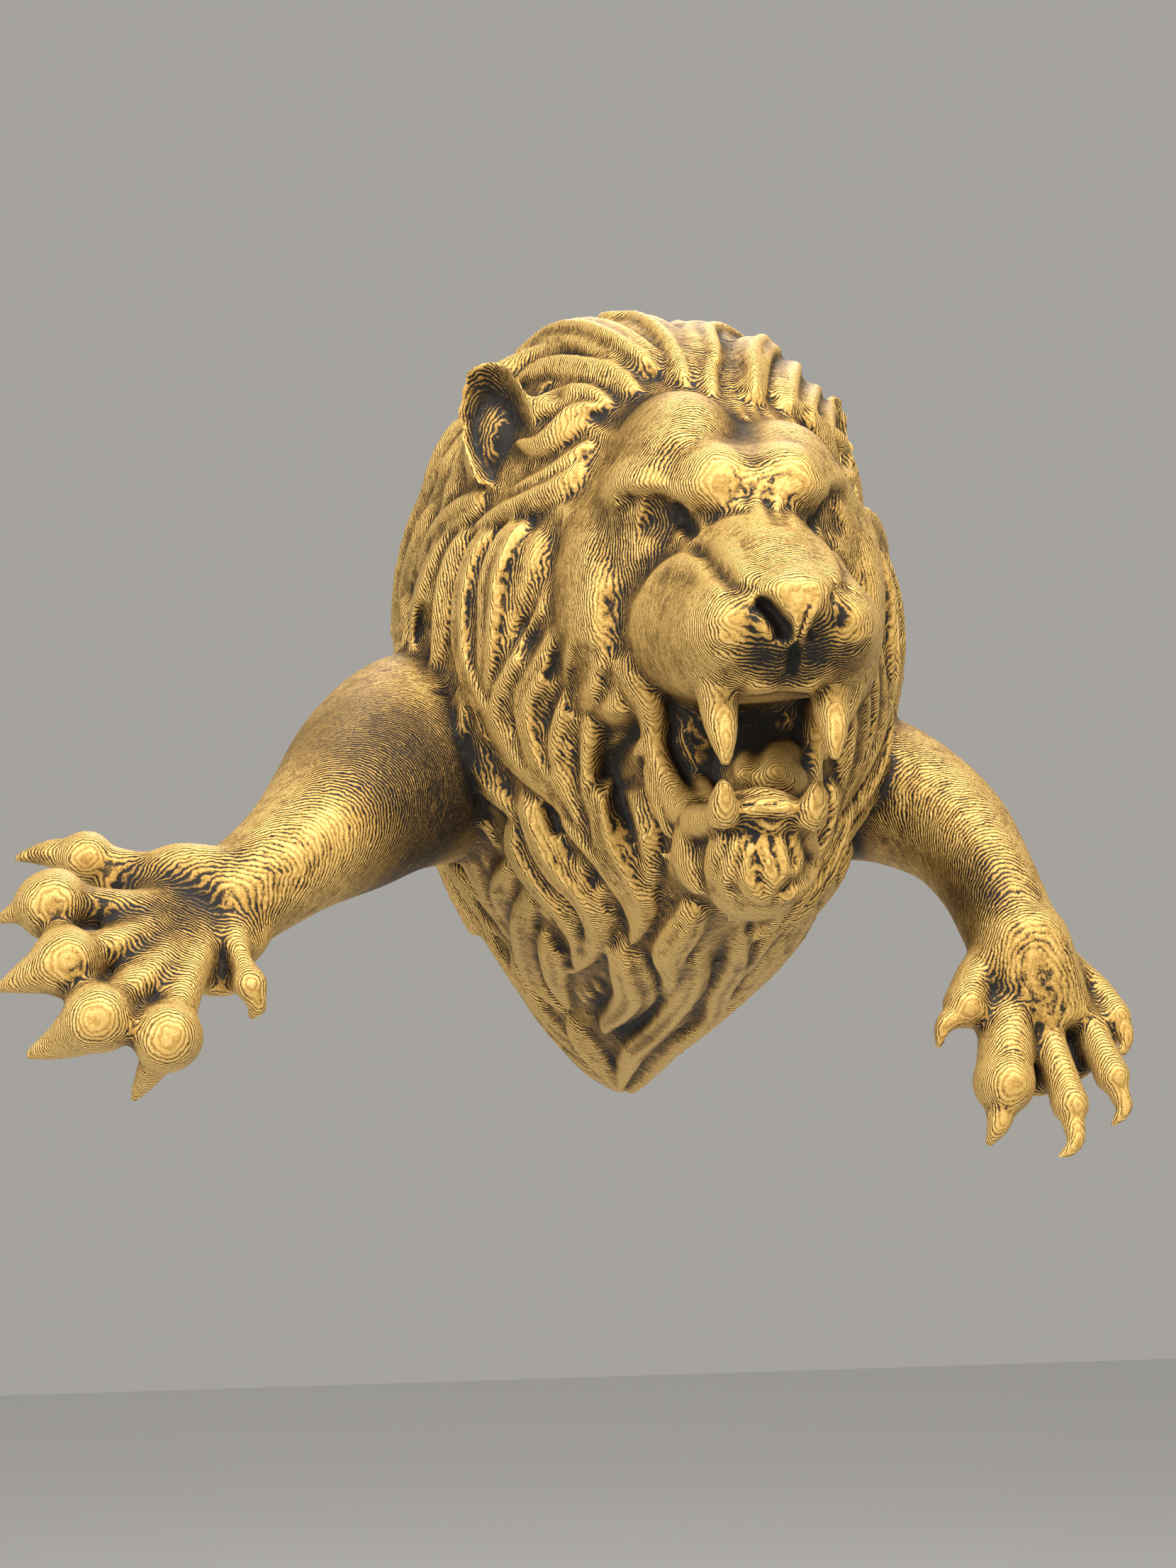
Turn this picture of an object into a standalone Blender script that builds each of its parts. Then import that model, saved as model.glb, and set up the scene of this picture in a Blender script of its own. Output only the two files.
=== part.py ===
# Lion wall sculpture: a roaring head in a full mane with two reaching forelegs, printed in one piece
# with a flat back that sits against the wall.
# The lion faces -Y, +Z is up, and the origin lies on the flat back behind the middle of the head.
# Places are written (x, out, z) in shares of the span, where out is how far a point stands off the wall.

import bpy
import numpy as np

# Driving sizes
span = 0.256                # from the claws of one paw to the claws of the other, in metres
unit = span / 256           # one share of the span: every figure below is a number of these
grain = 1.5                 # edge of the cubes that fuse the forms
triangle_goal = 9400        # facets of the finished figure
past_wall = 3.0             # how far the raw body runs behind the wall before it is cut flat

# The mane
mane_front = 110.0          # where the mantle of hair ends and the face begins
widest = 14.0               # height of the mantle's widest line
hair_turn = 60.0            # run from the crown to the temple, where the hair turns down
lock_pitch = 10.0           # mean width of a lock
lock_height = 4.8           # how far a lock stands proud
lock_wave = 62.0            # length of one wave along a lock
lock_sway = 4.6             # how far a wave swings

# The head
head_x = 2.3                # the face is turned a little to the right
head_lean = 0.05            # further turn of what stands in front of the cheeks
head_tilt = 0.06            # the right side sits higher
upper_tooth = 20.0
lower_tooth = 15.0
ear_wall = 2.6

# The paws
toe_left = 7.0
toe_right = 6.2
claw_thick = 3.0


# Places

def at(x, out, z):
    return np.array([x, -out, z], float)


def on_head(x, out, z):
    # a place on the head, x from its own middle line
    return at(head_x + head_lean * max(out - 130, 0) + x, out, z + head_tilt * x)


def both_sides(make):
    for side in (-1, 1):
        make(side)


# Closed surfaces

class Heap:
    # closed surfaces gathered for one mesh
    def __init__(self):
        self.points = []
        self.faces = []
        self.count = 0

    def add(self, points, faces):
        self.points.append(points)
        self.faces.extend(part + self.count for part in faces)
        self.count += len(points)


def curve(knots, count):
    # Catmull-Rom spline through the knots
    knots = np.asarray(knots, float)
    ends = np.vstack([2 * knots[0] - knots[1], knots, 2 * knots[-1] - knots[-2]])
    s = np.linspace(0, len(knots) - 1 - 1e-9, count)
    i = s.astype(int)
    t = (s - i)[:, None]
    a, b, c, d = ends[i], ends[i + 1], ends[i + 2], ends[i + 3]
    return 0.5 * (2*b + (c - a)*t + (2*a - 5*b + 4*c - d)*t**2 + (3*b - a - 3*c + d)*t**3)


def ring_faces(rings, sides, inward=False):
    # quads between neighbouring rings and a fan at each pole
    ring = np.arange(rings - 1)[:, None] * sides
    side = np.arange(sides)
    after = (side + 1) % sides
    quads = np.stack([ring + side, ring + after, ring + sides + after, ring + sides + side], -1).reshape(-1, 4)
    last = (rings - 1) * sides
    start = np.stack([np.full(sides, rings * sides), after, side], -1)
    end = np.stack([np.full(sides, rings * sides + 1), last + side, last + after], -1)
    faces = [quads, start, end]
    return [part[:, ::-1] for part in faces] if inward else faces


def unit_rows(v):
    return v / (np.linalg.norm(v, axis=-1, keepdims=True) + 1e-12)


def carried(heap, path, wide, thick, up, sides=16, power=2.0):
    # a superellipse carried along a path, its thick axis turned towards up
    along = unit_rows(np.gradient(path, axis=0))
    across = unit_rows(np.cross(along, np.broadcast_to(np.asarray(up, float), path.shape)))
    lift = np.cross(across, along)
    angle = np.linspace(0, 2 * np.pi, sides, endpoint=False)
    c, s = np.cos(angle), np.sin(angle)
    reach = (np.abs(c)**power + np.abs(s)**power)**(-1 / power)
    rim = path[:, None] + (wide[:, None] * reach * c)[..., None] * across[:, None]
    rim = rim + (thick[:, None] * reach * s)[..., None] * lift[:, None]
    points = np.vstack([rim.reshape(-1, 3), path[0], path[-1]])
    heap.add(points, ring_faces(len(path), sides))


def limb(heap, knots, wide, thick=None, rings=32, sides=20, head=0.1, tail=0.1):
    # a round-ended limb through the knots, with its half widths spread evenly along it
    path = curve(knots, rings)
    s = np.linspace(0, 1, rings)
    a = np.clip(s / head, 0, 1)
    b = np.clip((1 - s) / tail, 0, 1)
    ends = np.sqrt(1 - (1 - a)**2) * np.sqrt(1 - (1 - b)**2)

    def spread(values):
        return np.interp(s, np.linspace(0, 1, len(values)), values) * ends

    carried(heap, path, spread(wide), spread(thick or wide), (0, -1, 0), sides)


def blob(heap, centre, radii, turn_y=0.0, turn_z=0.0, rows=14, sides=24):
    # an ellipsoid turned about Y and then about Z, in degrees
    v, u = np.meshgrid(np.linspace(0, np.pi, rows + 2)[1:-1], np.linspace(0, 2 * np.pi, sides, endpoint=False),
                       indexing="ij")
    ball = np.stack([np.sin(v) * np.cos(u), np.sin(v) * np.sin(u), np.cos(v)], -1).reshape(-1, 3)
    ball = np.vstack([ball, (0, 0, 1), (0, 0, -1)]) * radii
    ty, tz = np.radians(turn_y), np.radians(turn_z)
    spin_y = np.array([[np.cos(ty), 0, np.sin(ty)], [0, 1, 0], [-np.sin(ty), 0, np.cos(ty)]])
    spin_z = np.array([[np.cos(tz), -np.sin(tz), 0], [np.sin(tz), np.cos(tz), 0], [0, 0, 1]])
    heap.add(ball @ (spin_z @ spin_y).T + centre, ring_faces(rows, sides, inward=True))


def loft(heap, stations, rings=32, sides=40):
    # sections of the head across its depth: rows of (out, half width, top, bottom, squareness)
    out, wide, top, low, power = curve(stations, rings).T[:, :, None]
    angle = np.linspace(0, 2 * np.pi, sides, endpoint=False)[None]
    c, s = np.cos(angle), np.sin(angle)
    reach = (np.abs(c)**power + np.abs(s)**power)**(-1 / power)
    x = wide * reach * c
    z = (top + low) / 2 + (top - low) / 2 * reach * s
    y = out + 0 * x
    first, last = stations[0], stations[-1]
    x = np.append(x.ravel(), [0, 0])
    y = np.append(y.ravel(), [first[0], last[0]])
    z = np.append(z.ravel(), [(first[2] + first[3]) / 2, (last[2] + last[3]) / 2])
    middle = head_x + head_lean * np.clip(y - 130, 0, None)
    heap.add(np.stack([middle + x, -y, z + head_tilt * x], -1), ring_faces(rings, sides))


# The mantle of hair behind the face: its sections across the depth

mantle_out = np.array([-past_wall, 0, 15, 35, 55, 75, 90, 102, mane_front])
mantle_half = np.array([56, 57, 59, 59.5, 57, 48.5, 39, 29, 18])
mantle_top = np.array([80, 82, 88, 93, 94, 87, 76, 63, 48])
mantle_low = np.array([-91, -91, -85, -76, -67, -60, -54, -46, -36])
crown_x = np.array([0, 0, -2, -5, -8, -9, -5, 0, 2])
girth_x = np.array([0, 0, 0, 0, -1, -1, 0, 2, 2])


def station(out, values):
    # smooth value between the mantle's sections
    slope = np.gradient(values, mantle_out)
    i = np.clip(np.searchsorted(mantle_out, out) - 1, 0, len(mantle_out) - 2)
    h = mantle_out[i + 1] - mantle_out[i]
    t = np.clip((out - mantle_out[i]) / h, 0, 1)
    start = (2*t**3 - 3*t**2 + 1) * values[i] + (t**3 - 2*t**2 + t) * h * slope[i]
    return start + (3*t**2 - 2*t**3) * values[i + 1] + (t**3 - t**2) * h * slope[i + 1]


def mantle(angle, out):
    # a superellipse, full above its widest line and drawn to a point below it
    angle, out = np.broadcast_arrays(np.asarray(angle, float), np.asarray(out, float))
    c, s = np.cos(angle), np.sin(angle)
    pointed = 1.42 + 0.33 * np.clip(out / 60, 0, 1)
    blend = np.clip((s + 0.25) / 0.5, 0, 1)
    power = pointed + (2.2 - pointed) * blend**2 * (3 - 2*blend)
    rise = np.where(s > 0, station(out, mantle_top) - widest, widest - station(out, mantle_low))
    reach = (np.abs(c)**power + np.abs(s)**power)**(-1 / power)
    up = np.clip(reach * s, 0, 1)**2
    middle = station(out, girth_x) * (1 - up) + station(out, crown_x) * up
    return np.stack([middle + station(out, mantle_half) * reach * c, -out, widest + rise * reach * s], -1)


def mantle_normal(angle, out):
    du = mantle(angle + 0.01, out) - mantle(angle - 0.01, out)
    dv = mantle(angle, out + 0.5) - mantle(angle, out - 0.5)
    normal = unit_rows(np.cross(dv, du))
    outward = mantle(angle, out) - at(0, 0, widest)
    outward[..., 1] = -8
    return normal * np.sign((normal * outward).sum(-1, keepdims=True))


def shell(heap, rings):
    # rings of the mantle closed by a shallow dome in front and a flat end behind
    front = rings[-1]
    middle = front.mean(0)
    dome = []
    for share in (0.8, 0.55, 0.3):
        ring = middle + (front - middle) * share
        ring[:, 1] -= 3 * np.sqrt(1 - share**2)
        dome.append(ring)
    poles = [rings[0].mean(0)[None], (middle + at(0, 3.2, 0))[None]]
    heap.add(np.concatenate([*rings, *dome, *poles]), ring_faces(len(rings) + len(dome), len(front)))


def lock_field(run_down, out, half_round, side):
    # height of the combed hair at a place on the mantle. Over the crown the locks circle the temple,
    # down the sides they follow the section, and below they are drawn back to the tip.
    rng = np.random.default_rng(11 + side)
    count = 26
    dx = run_down - hair_turn
    dy = out - mane_front + 2
    circle = np.hypot(dx, dy)
    above = run_down < hair_turn
    low = np.clip(2 * run_down / half_round - 1, 0, 1)
    squeeze = 1 - 0.62 * low**1.6
    across = np.where(above, circle, mane_front - 2 - out / squeeze)
    along = np.where(above, hair_turn - circle * np.arctan2(-dx, -dy), run_down)
    across = across + lock_sway * np.sin(2*np.pi * along / lock_wave + 0.045*across + 0.6*side)
    across = across + 0.35 * lock_sway * np.sin(4*np.pi * along / lock_wave + 0.11*across)
    edges = np.concatenate([[0], np.cumsum(1 + rng.uniform(-0.28, 0.28, count))]) * lock_pitch - 60
    i = np.clip(np.searchsorted(edges, across) - 1, 0, count - 1)
    share = np.clip((across - edges[i]) / (edges[i + 1] - edges[i]), 0, 1)
    length = rng.uniform(52, 74, count)[i]
    done = np.mod((along - rng.uniform(0, 70, count)[i]) / length, 1)
    swell = np.where(done < 0.35, np.sin(0.5*np.pi * (0.35 + 1.86*done)), np.cos(1.98 * (done - 0.35))**0.8)
    wide = 0.62 + 0.38 * np.clip(1.3 * swell, 0, 1)
    ridge = (1 - np.clip(np.abs(2*share - 1) / wide, 0, 1)**1.7)**0.9
    height = lock_height * (0.30 + 0.70*swell) * ridge * rng.uniform(0.75, 1.15, count)[i]
    return height * np.clip(1.15 * squeeze, 0.3, 1)


def combed_mantle(heap, sides=300, rows=80):
    # the mantle with its hair, its columns evenly spaced around the section
    turn = np.linspace(np.pi / 2, 2.5 * np.pi, 721)
    line = mantle(turn, 55.0)
    run = np.concatenate([[0], np.cumsum(np.linalg.norm(np.diff(line, axis=0), axis=1))])
    half_round = run[-1] / 2
    place = np.linspace(0, run[-1], sides, endpoint=False)
    angle = np.interp(place, run, turn)
    run_down = np.minimum(place, run[-1] - place)
    right = place > half_round
    rings = []
    for out in np.linspace(-past_wall, mane_front, rows):
        height = np.where(right, lock_field(run_down, out, half_round, 1), lock_field(run_down, out, half_round, 0))
        height = (height - 0.6) * np.clip((mane_front + 2 - out) / 8, 0, 1)
        near_tip = run_down > 0.75 * half_round
        height = np.where(near_tip, height * np.clip(0.25 + out / 26, 0, 1), height)
        rings.append(mantle(angle, out) + mantle_normal(angle, out) * height[:, None])
    shell(heap, rings)


def plain_mantle(heap, sides=96, rows=46):
    angle = np.linspace(0, 2 * np.pi, sides, endpoint=False)
    shell(heap, [mantle(angle, out) for out in np.linspace(-past_wall, mane_front, rows)])


# Locks led by hand: the ones that lie over the combed hair

hairline_locks = [
    ([(-21.5, 106, 58), (-29.4, 101, 58), (-36, 95, 57.5), (-42.5, 90, 56.5)], 3.4),
    ([(-12, 108, 63), (-21.4, 101, 67.5), (-30, 95, 67), (-38, 88, 63)], 3.8),
    ([(-15, 106, 66), (-25.4, 97, 72.5), (-33, 88, 76.5), (-42.5, 76, 74)], 3.8),
    ([(-3.4, 112, 59.5), (-2.8, 102, 72.5), (-6, 86, 85), (-13, 60, 96)], 4.2),
    ([(3, 112, 62), (4, 102, 73), (5, 88, 85), (3, 66, 94)], 3.8),
    ([(-9, 111, 64), (-15, 99, 76), (-22.6, 84, 86), (-31, 60, 90.5)], 4.4),
    ([(9, 112, 61), (11, 103, 71), (14, 88, 81), (16, 70, 88)], 3.8),
    ([(15, 110, 59), (19, 101, 68), (24, 88, 76), (27, 70, 80)], 3.8),
    ([(20, 108, 57), (26, 99, 64), (31, 89, 68), (35, 80, 66)], 3.6),
]
cheek_locks = [
    ([(-42.9, 86, 42.7), (-50.2, 82, 27), (-51, 80, 14.5), (-45.5, 82, 1.8), (-39.5, 83, -11), (-29, 84, -24)], 6.2),
    ([(-38, 92, 25), (-45.5, 88, 4), (-46.7, 87, -7), (-40.3, 88, -18), (-30, 88, -29), (-20.2, 86, -41.4)], 4.8),
    ([(-31.4, 96, 16), (-38.2, 94, 0), (-39, 94, -10), (-35, 94, -19), (-26, 93, -31), (-17, 90, -48)], 4.4),
    ([(-26, 98, 12.7), (-31, 98, -1.4), (-32.5, 98, -12.4), (-29, 97, -23), (-20.5, 95, -37), (-14, 89, -52.5)], 4.2),
    ([(-51.4, 75, 2.4), (-51.7, 77, -9.2), (-45, 81, -19), (-38, 82, -30)], 4.6),
    ([(-39.9, 84, -25.7), (-38, 83, -35.8), (-30.7, 82, -46), (-24, 78, -54), (-27, 74, -60)], 4.4),
    ([(-22.6, 99, -17), (-21, 99, -26.4), (-16.5, 98, -35.7), (-14, 94, -48), (-16.2, 90, -54)], 3.8),
]


def led_lock(heap, knots, half_width, rings=28):
    # swells from its root to its widest place and tapers to a point
    path = curve(knots, rings)
    s = np.linspace(0, 1, rings)
    fall = np.clip(np.cos(0.5*np.pi * np.clip(s - 0.4, 0, 0.6) / 0.6), 0, 1)**0.85
    wide = half_width * np.clip(np.where(s < 0.4, np.sin(0.5*np.pi * (0.3 + 1.75*s)), fall), 0.06, 1)
    up = path - at(0, 45, 5)
    carried(heap, path, wide, 0.8 * wide, unit_rows(up), 12, 1.7)


def led_locks(heap):
    for knots, half_width in hairline_locks:
        led_lock(heap, [at(*knot) for knot in knots], half_width)
    for knots, half_width in cheek_locks:
        led_lock(heap, [at(*knot) for knot in knots], half_width)
        led_lock(heap, [at(-1.5 - x, out, z) for x, out, z in knots], half_width)


# The head's large forms, which are fused and worn smooth before the carving is added

def head_masses(heap):
    skull = [(70, 36, 68, -10, 2.2), (90, 34.5, 67, -6, 2.3), (104, 32.5, 64, -2, 2.5), (113, 28.5, 60, 4, 2.5),
             (120, 22, 54, 12, 2.4), (125, 14, 49, 20, 2.2), (127.5, 6, 44, 28, 2)]
    muzzle = [(90, 27, 34, -2, 2.3), (108, 27, 33, -3, 2.4), (120, 25.5, 31, -3.5, 2.4), (130, 24, 28.5, -3.5, 2.5),
              (140, 21, 25, -3.5, 2.5), (148, 17, 21, -3, 2.5), (153, 13, 18, -1, 2.3), (156, 6, 13, 3, 2)]
    bridge = [(105, 9, 46, 10, 2.4), (120, 11.5, 43, 10, 2.4), (131, 13, 38, 8, 2.4), (140, 13.2, 32.5, 6, 2.5),
              (148, 12.6, 26, 5, 2.5), (154, 11.2, 19.5, 5, 2.4), (157.5, 7.5, 15, 8, 2.2)]
    for stations in (skull, muzzle, bridge):
        loft(heap, stations)

    def half(side):
        blob(heap, on_head(9.5 * side, 121, 42.5), (10.5, 12.5, 8))                 # brow beside the nose
        blob(heap, on_head(20 * side, 110, 43), (12.5, 10, 6.5), 8 * side, -22 * side)   # outer brow
        blob(heap, on_head(12 * side, 104, 52), (15, 17, 13))                       # forehead
        blob(heap, on_head(29 * side, 96, 22), (9.5, 17, 24))                       # cheek
        blob(heap, on_head(11.5 * side, 131, 6), (15, 27.5, 11.6), 0, 8 * side)     # lip pad
        jowl = [on_head(30 * side, 100, 16), at(2.5 + 29*side, 99, 2), at(2.5 + 26*side, 98, -12),
                at(2.5 + 22*side, 103, -26)]
        limb(heap, jowl, [7, 5, 4.6, 5.5])

    both_sides(half)
    blob(heap, at(2.5, 124, -38.5), (12.5, 12, 10))


# Carving of the face

def brows_and_lips(heap, side):
    brow = [(4, 129.5, 38.5), (8, 131.5, 41), (15, 125.5, 41.5), (22, 119, 41.5), (29, 110, 38)]
    lid = [(13, 123.5, 31.5), (17, 121.5, 31), (22, 117.5, 33), (26.5, 112, 36)]
    lip = [(0, 151, 2), (8, 149, -1), (15, 142, -2.6), (20, 128, -2.4), (20.5, 115, -1)]
    wing = [(1, 154.5, 14.2), (6, 153, 14.2), (10.5, 148.5, 13.6)]
    for knots, widths in ((brow, [2.2, 3.6, 3.4, 3.4, 2.2]), (lid, [1.4, 1.9, 1.9, 1.2]),
                          (lip, [2.6, 3.4, 3.6, 3.4, 3.2]), (wing, [2.6, 2.8, 1.8])):
        limb(heap, [on_head(x * side, out, z) for x, out, z in knots], widths)


def teeth(heap, side):
    top = [on_head(12.3 * side, 140 + 5*s, 2 - (upper_tooth + 2)*s) for s in (0, 0.33, 0.66)]
    top.append(on_head(9.8 * side, 146.5, -upper_tooth))
    low = [at(2.2 + 10.3*side, 135 + 4*s, -34 + lower_tooth*s) for s in (0, 0.4, 0.75)]
    low.append(at(2.2 + 9.6*side, 140, -34 + lower_tooth))
    limb(heap, top, [3.5, 3.3, 2.5, 0.8], sides=14, head=0.05, tail=0.04)
    limb(heap, low, [3.7, 3.5, 2.5, 0.8], sides=14, head=0.05, tail=0.04)


def jaw_side(heap, side):
    bone = [(7, 134, -33), (14, 128, -32.5), (18, 116, -31), (22.5, 100, -27), (27, 84, -16)]
    flap = [(16, 118, -31), (17, 114, -37), (14.5, 113, -43), (12, 112, -47)]
    spur = [(24.5, 108, -13), (26.5, 107, -15), (29, 107, -16)]
    web = [on_head(23 * side, 113, -1)]
    web += [at(2.5 + x*side, out, z) for x, out, z in ((24.5, 108, -10), (23, 108, -19), (18.5, 115, -29))]
    for knots, widths in ((bone, [3.4, 3.8, 4.6, 6, 9]), (flap, [4.2, 4.6, 3, 1]), (spur, [2, 1.4, 0.6])):
        limb(heap, [at(2.5 + x*side, out, z) for x, out, z in knots], widths)
    limb(heap, web, [3.8, 2.6, 2.6, 3.8])


def mouth(heap):
    limb(heap, [on_head(0, 155.5, 12), on_head(0, 156.5, 8), on_head(0, 153, 1)], [2.6, 2, 2.4])
    for x in np.linspace(-7.5, 7.5, 6):
        back = 0.03 * x**2
        limb(heap, [on_head(x, 145 - back, -2), on_head(x, 146 - back, -6.2)], [1.4, 1], rings=8, sides=10)
        limb(heap, [at(2.3 + 0.8*x, 136.5 - back, -31), at(2.3 + 0.8*x, 137 - back, -27.6)], [1.3, 0.9],
             rings=8, sides=10)
    limb(heap, [at(-8, 133.5, -31), at(2.5, 137.5, -31.5), at(13, 133.5, -31)], [3, 3.2, 3])
    blob(heap, at(2.5, 112, -37), (15, 20, 6))
    limb(heap, [at(2.5, 92, -26), at(3, 110, -22.5), at(4.5, 121, -20.5), at(4.5, 130, -25.5)],
         [7, 7, 6.4, 5], [5, 4.6, 4.6, 4])


def beard(heap):
    for j, x in enumerate(np.linspace(-9, 14, 8)):
        off = (x - 2.5)**2
        length = 13 - 0.06*off
        hook = 3.2 if j % 2 else -3.2
        knots = [at(x, 133 - 0.05*off, -33), at(x + 0.3*hook, 134 - 0.06*off, -33 - 0.35*length),
                 at(x + 0.54*hook, 131, -33 - 0.75*length), at(x + hook, 128, -33 - 1.05*length)]
        limb(heap, knots, [2.4, 2.8, 2.2, 0.8], rings=20, sides=12, head=0.15, tail=0.05)


def ear(heap, base, tip, out, face, half_width, depth, rows=22, columns=16):
    # a cupped leaf from base to tip: out is the way its width runs, face the way the cup opens
    u = np.linspace(-1, 1, columns)[None, :]
    v = np.linspace(0, 1, rows)[:, None]
    round_top = np.sqrt(np.clip(1 - ((v - 0.45) / 0.55)**2, 0, 1))
    wide = half_width * np.where(v < 0.45, 0.72 + 0.28*np.sin(np.pi/2 * v / 0.45), round_top)
    cup = depth * (1 - u**2) * np.sin(np.pi * (0.15 + 0.85*v))**0.7
    inner = base + (tip - base) * v[..., None] + (wide * u)[..., None] * out - cup[..., None] * face
    outer = inner - ear_wall * face * (1 - 0.5 * np.abs(u[..., None])**3)
    rim = np.concatenate([inner, outer[:, ::-1]], 1)
    points = np.concatenate([rim.reshape(-1, 3), rim[0].mean(0)[None], rim[-1].mean(0)[None]])
    heap.add(points, ring_faces(rows, 2 * columns))


def ears(heap):
    ear(heap, at(-43.5, 82, 50), at(-47.5, 80, 79), np.array([0.93, -0.36, 0.05]), np.array([-0.36, -0.93, 0.05]),
        8.8, 7.5)
    blob(heap, at(-44, 70, 62), (7, 8, 13), 8, 20)
    ear(heap, at(41, 60, 47), at(43, 54, 70), np.array([0.85, 0.5, 0.05]), np.array([0.5, -0.85, 0.1]), 7.5, 5.5)


# Forelegs and paws

def leg_masses(heap):
    left = [at(-40, 30, -4), at(-56, 44, -9), at(-68, 60, -16), at(-79, 77, -26), at(-91, 90, -36),
            at(-103, 98, -45), at(-112, 102, -49)]
    limb(heap, left, [22, 26, 23, 18.5, 13.5, 11.5, 11], [22, 25, 22, 18, 13, 10, 8.5], 48, 32)
    blob(heap, at(-83, 84, -31), (8, 12, 8))
    blob(heap, at(-111, 102, -50), (19, 9.5, 17), 30, -10)
    blob(heap, at(-121, 107, -52), (10, 7.5, 17), 20, -12)
    right = [at(32, 30, -6), at(48, 38, -12), at(60, 47, -17), at(70, 58, -26), at(75, 68, -38), at(78, 75, -50),
             at(81, 79, -60)]
    limb(heap, right, [20, 20, 17.5, 14.5, 12, 11.6, 11], [20, 19, 17, 14, 12, 10, 9], 48, 32)
    blob(heap, at(80, 79, -60), (15.5, 10, 15))
    blob(heap, at(82, 82, -70), (15, 8.5, 10))


def digit(heap, wrist, knuckle, toe, claw, radius, claw_radius):
    # a bone from the wrist, a round toe and a claw that arches over to its point
    limb(heap, [wrist, knuckle, toe], [0.8 * radius, 0.78 * radius, 0.9 * radius], rings=24, sides=16)
    blob(heap, toe, (radius, radius, radius))
    reach = np.linalg.norm(claw - toe)
    root = toe + (claw - toe) / reach * radius * 0.35
    arch = (root + claw) / 2 + at(0, 0, 0.1 * reach)
    limb(heap, [root, arch, claw], [1.25 * claw_radius, 0.95 * claw_radius, 0.5], rings=18, sides=12,
         head=0.05, tail=0.04)


left_paw = [
    ((-119, 101, -41), (-132, 99, -37), (-149.5, 92, -36)),
    ((-125, 109, -47), (-139, 112, -47.5), (-152, 111, -49.5)),
    ((-124, 113, -54), (-136, 121, -58), (-151, 125, -64.5)),
    ((-119, 114, -60), (-130, 125, -69.5), (-144, 129, -77.5)),
    ((-112, 113, -61), (-117, 125, -73), (-124, 129, -86.5)),
]
dew_claw = ((-102, 107, -54), (-101, 114, -63), (-101, 117, -71))
right_paw = [
    ((68, 80, -60), (64, 84, -69), (55.5, 89, -78)),
    ((74, 83, -72), (69.5, 88, -86), (64.8, 92, -100)),
    ((82, 84, -75), (83, 91, -88), (80.5, 96, -103)),
    ((90, 82, -72), (94, 89, -83), (95, 93, -95)),
    ((93, 78, -64), (99.5, 82, -70.5), (102.5, 85, -80)),
]


def paws(heap):
    wrist = at(-103, 100, -45)
    for places in left_paw:
        digit(heap, wrist, *[at(*place) for place in places], toe_left, claw_thick)
    digit(heap, wrist, *[at(*place) for place in dew_claw], 0.7 * toe_left, 0.75 * claw_thick)
    wrist = at(78, 76, -52)
    for places in right_paw:
        digit(heap, wrist, *[at(*place) for place in places], toe_right, 0.9 * claw_thick)


# Fusing and working the clay

def new_object(name, points, faces):
    loops = np.concatenate([part.ravel() for part in faces]).astype(np.int32)
    sizes = np.concatenate([np.full(len(part), part.shape[1]) for part in faces])
    starts = np.concatenate([[0], np.cumsum(sizes)[:-1]]).astype(np.int32)
    mesh = bpy.data.meshes.new(name)
    mesh.vertices.add(len(points))
    mesh.vertices.foreach_set("co", (points * unit).astype(np.float32).ravel())
    mesh.loops.add(len(loops))
    mesh.loops.foreach_set("vertex_index", loops)
    mesh.polygons.add(len(sizes))
    mesh.polygons.foreach_set("loop_start", starts)
    mesh.update(calc_edges=True)
    mesh.validate()
    thing = bpy.data.objects.new(name, mesh)
    bpy.context.scene.collection.objects.link(thing)
    return thing


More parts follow.
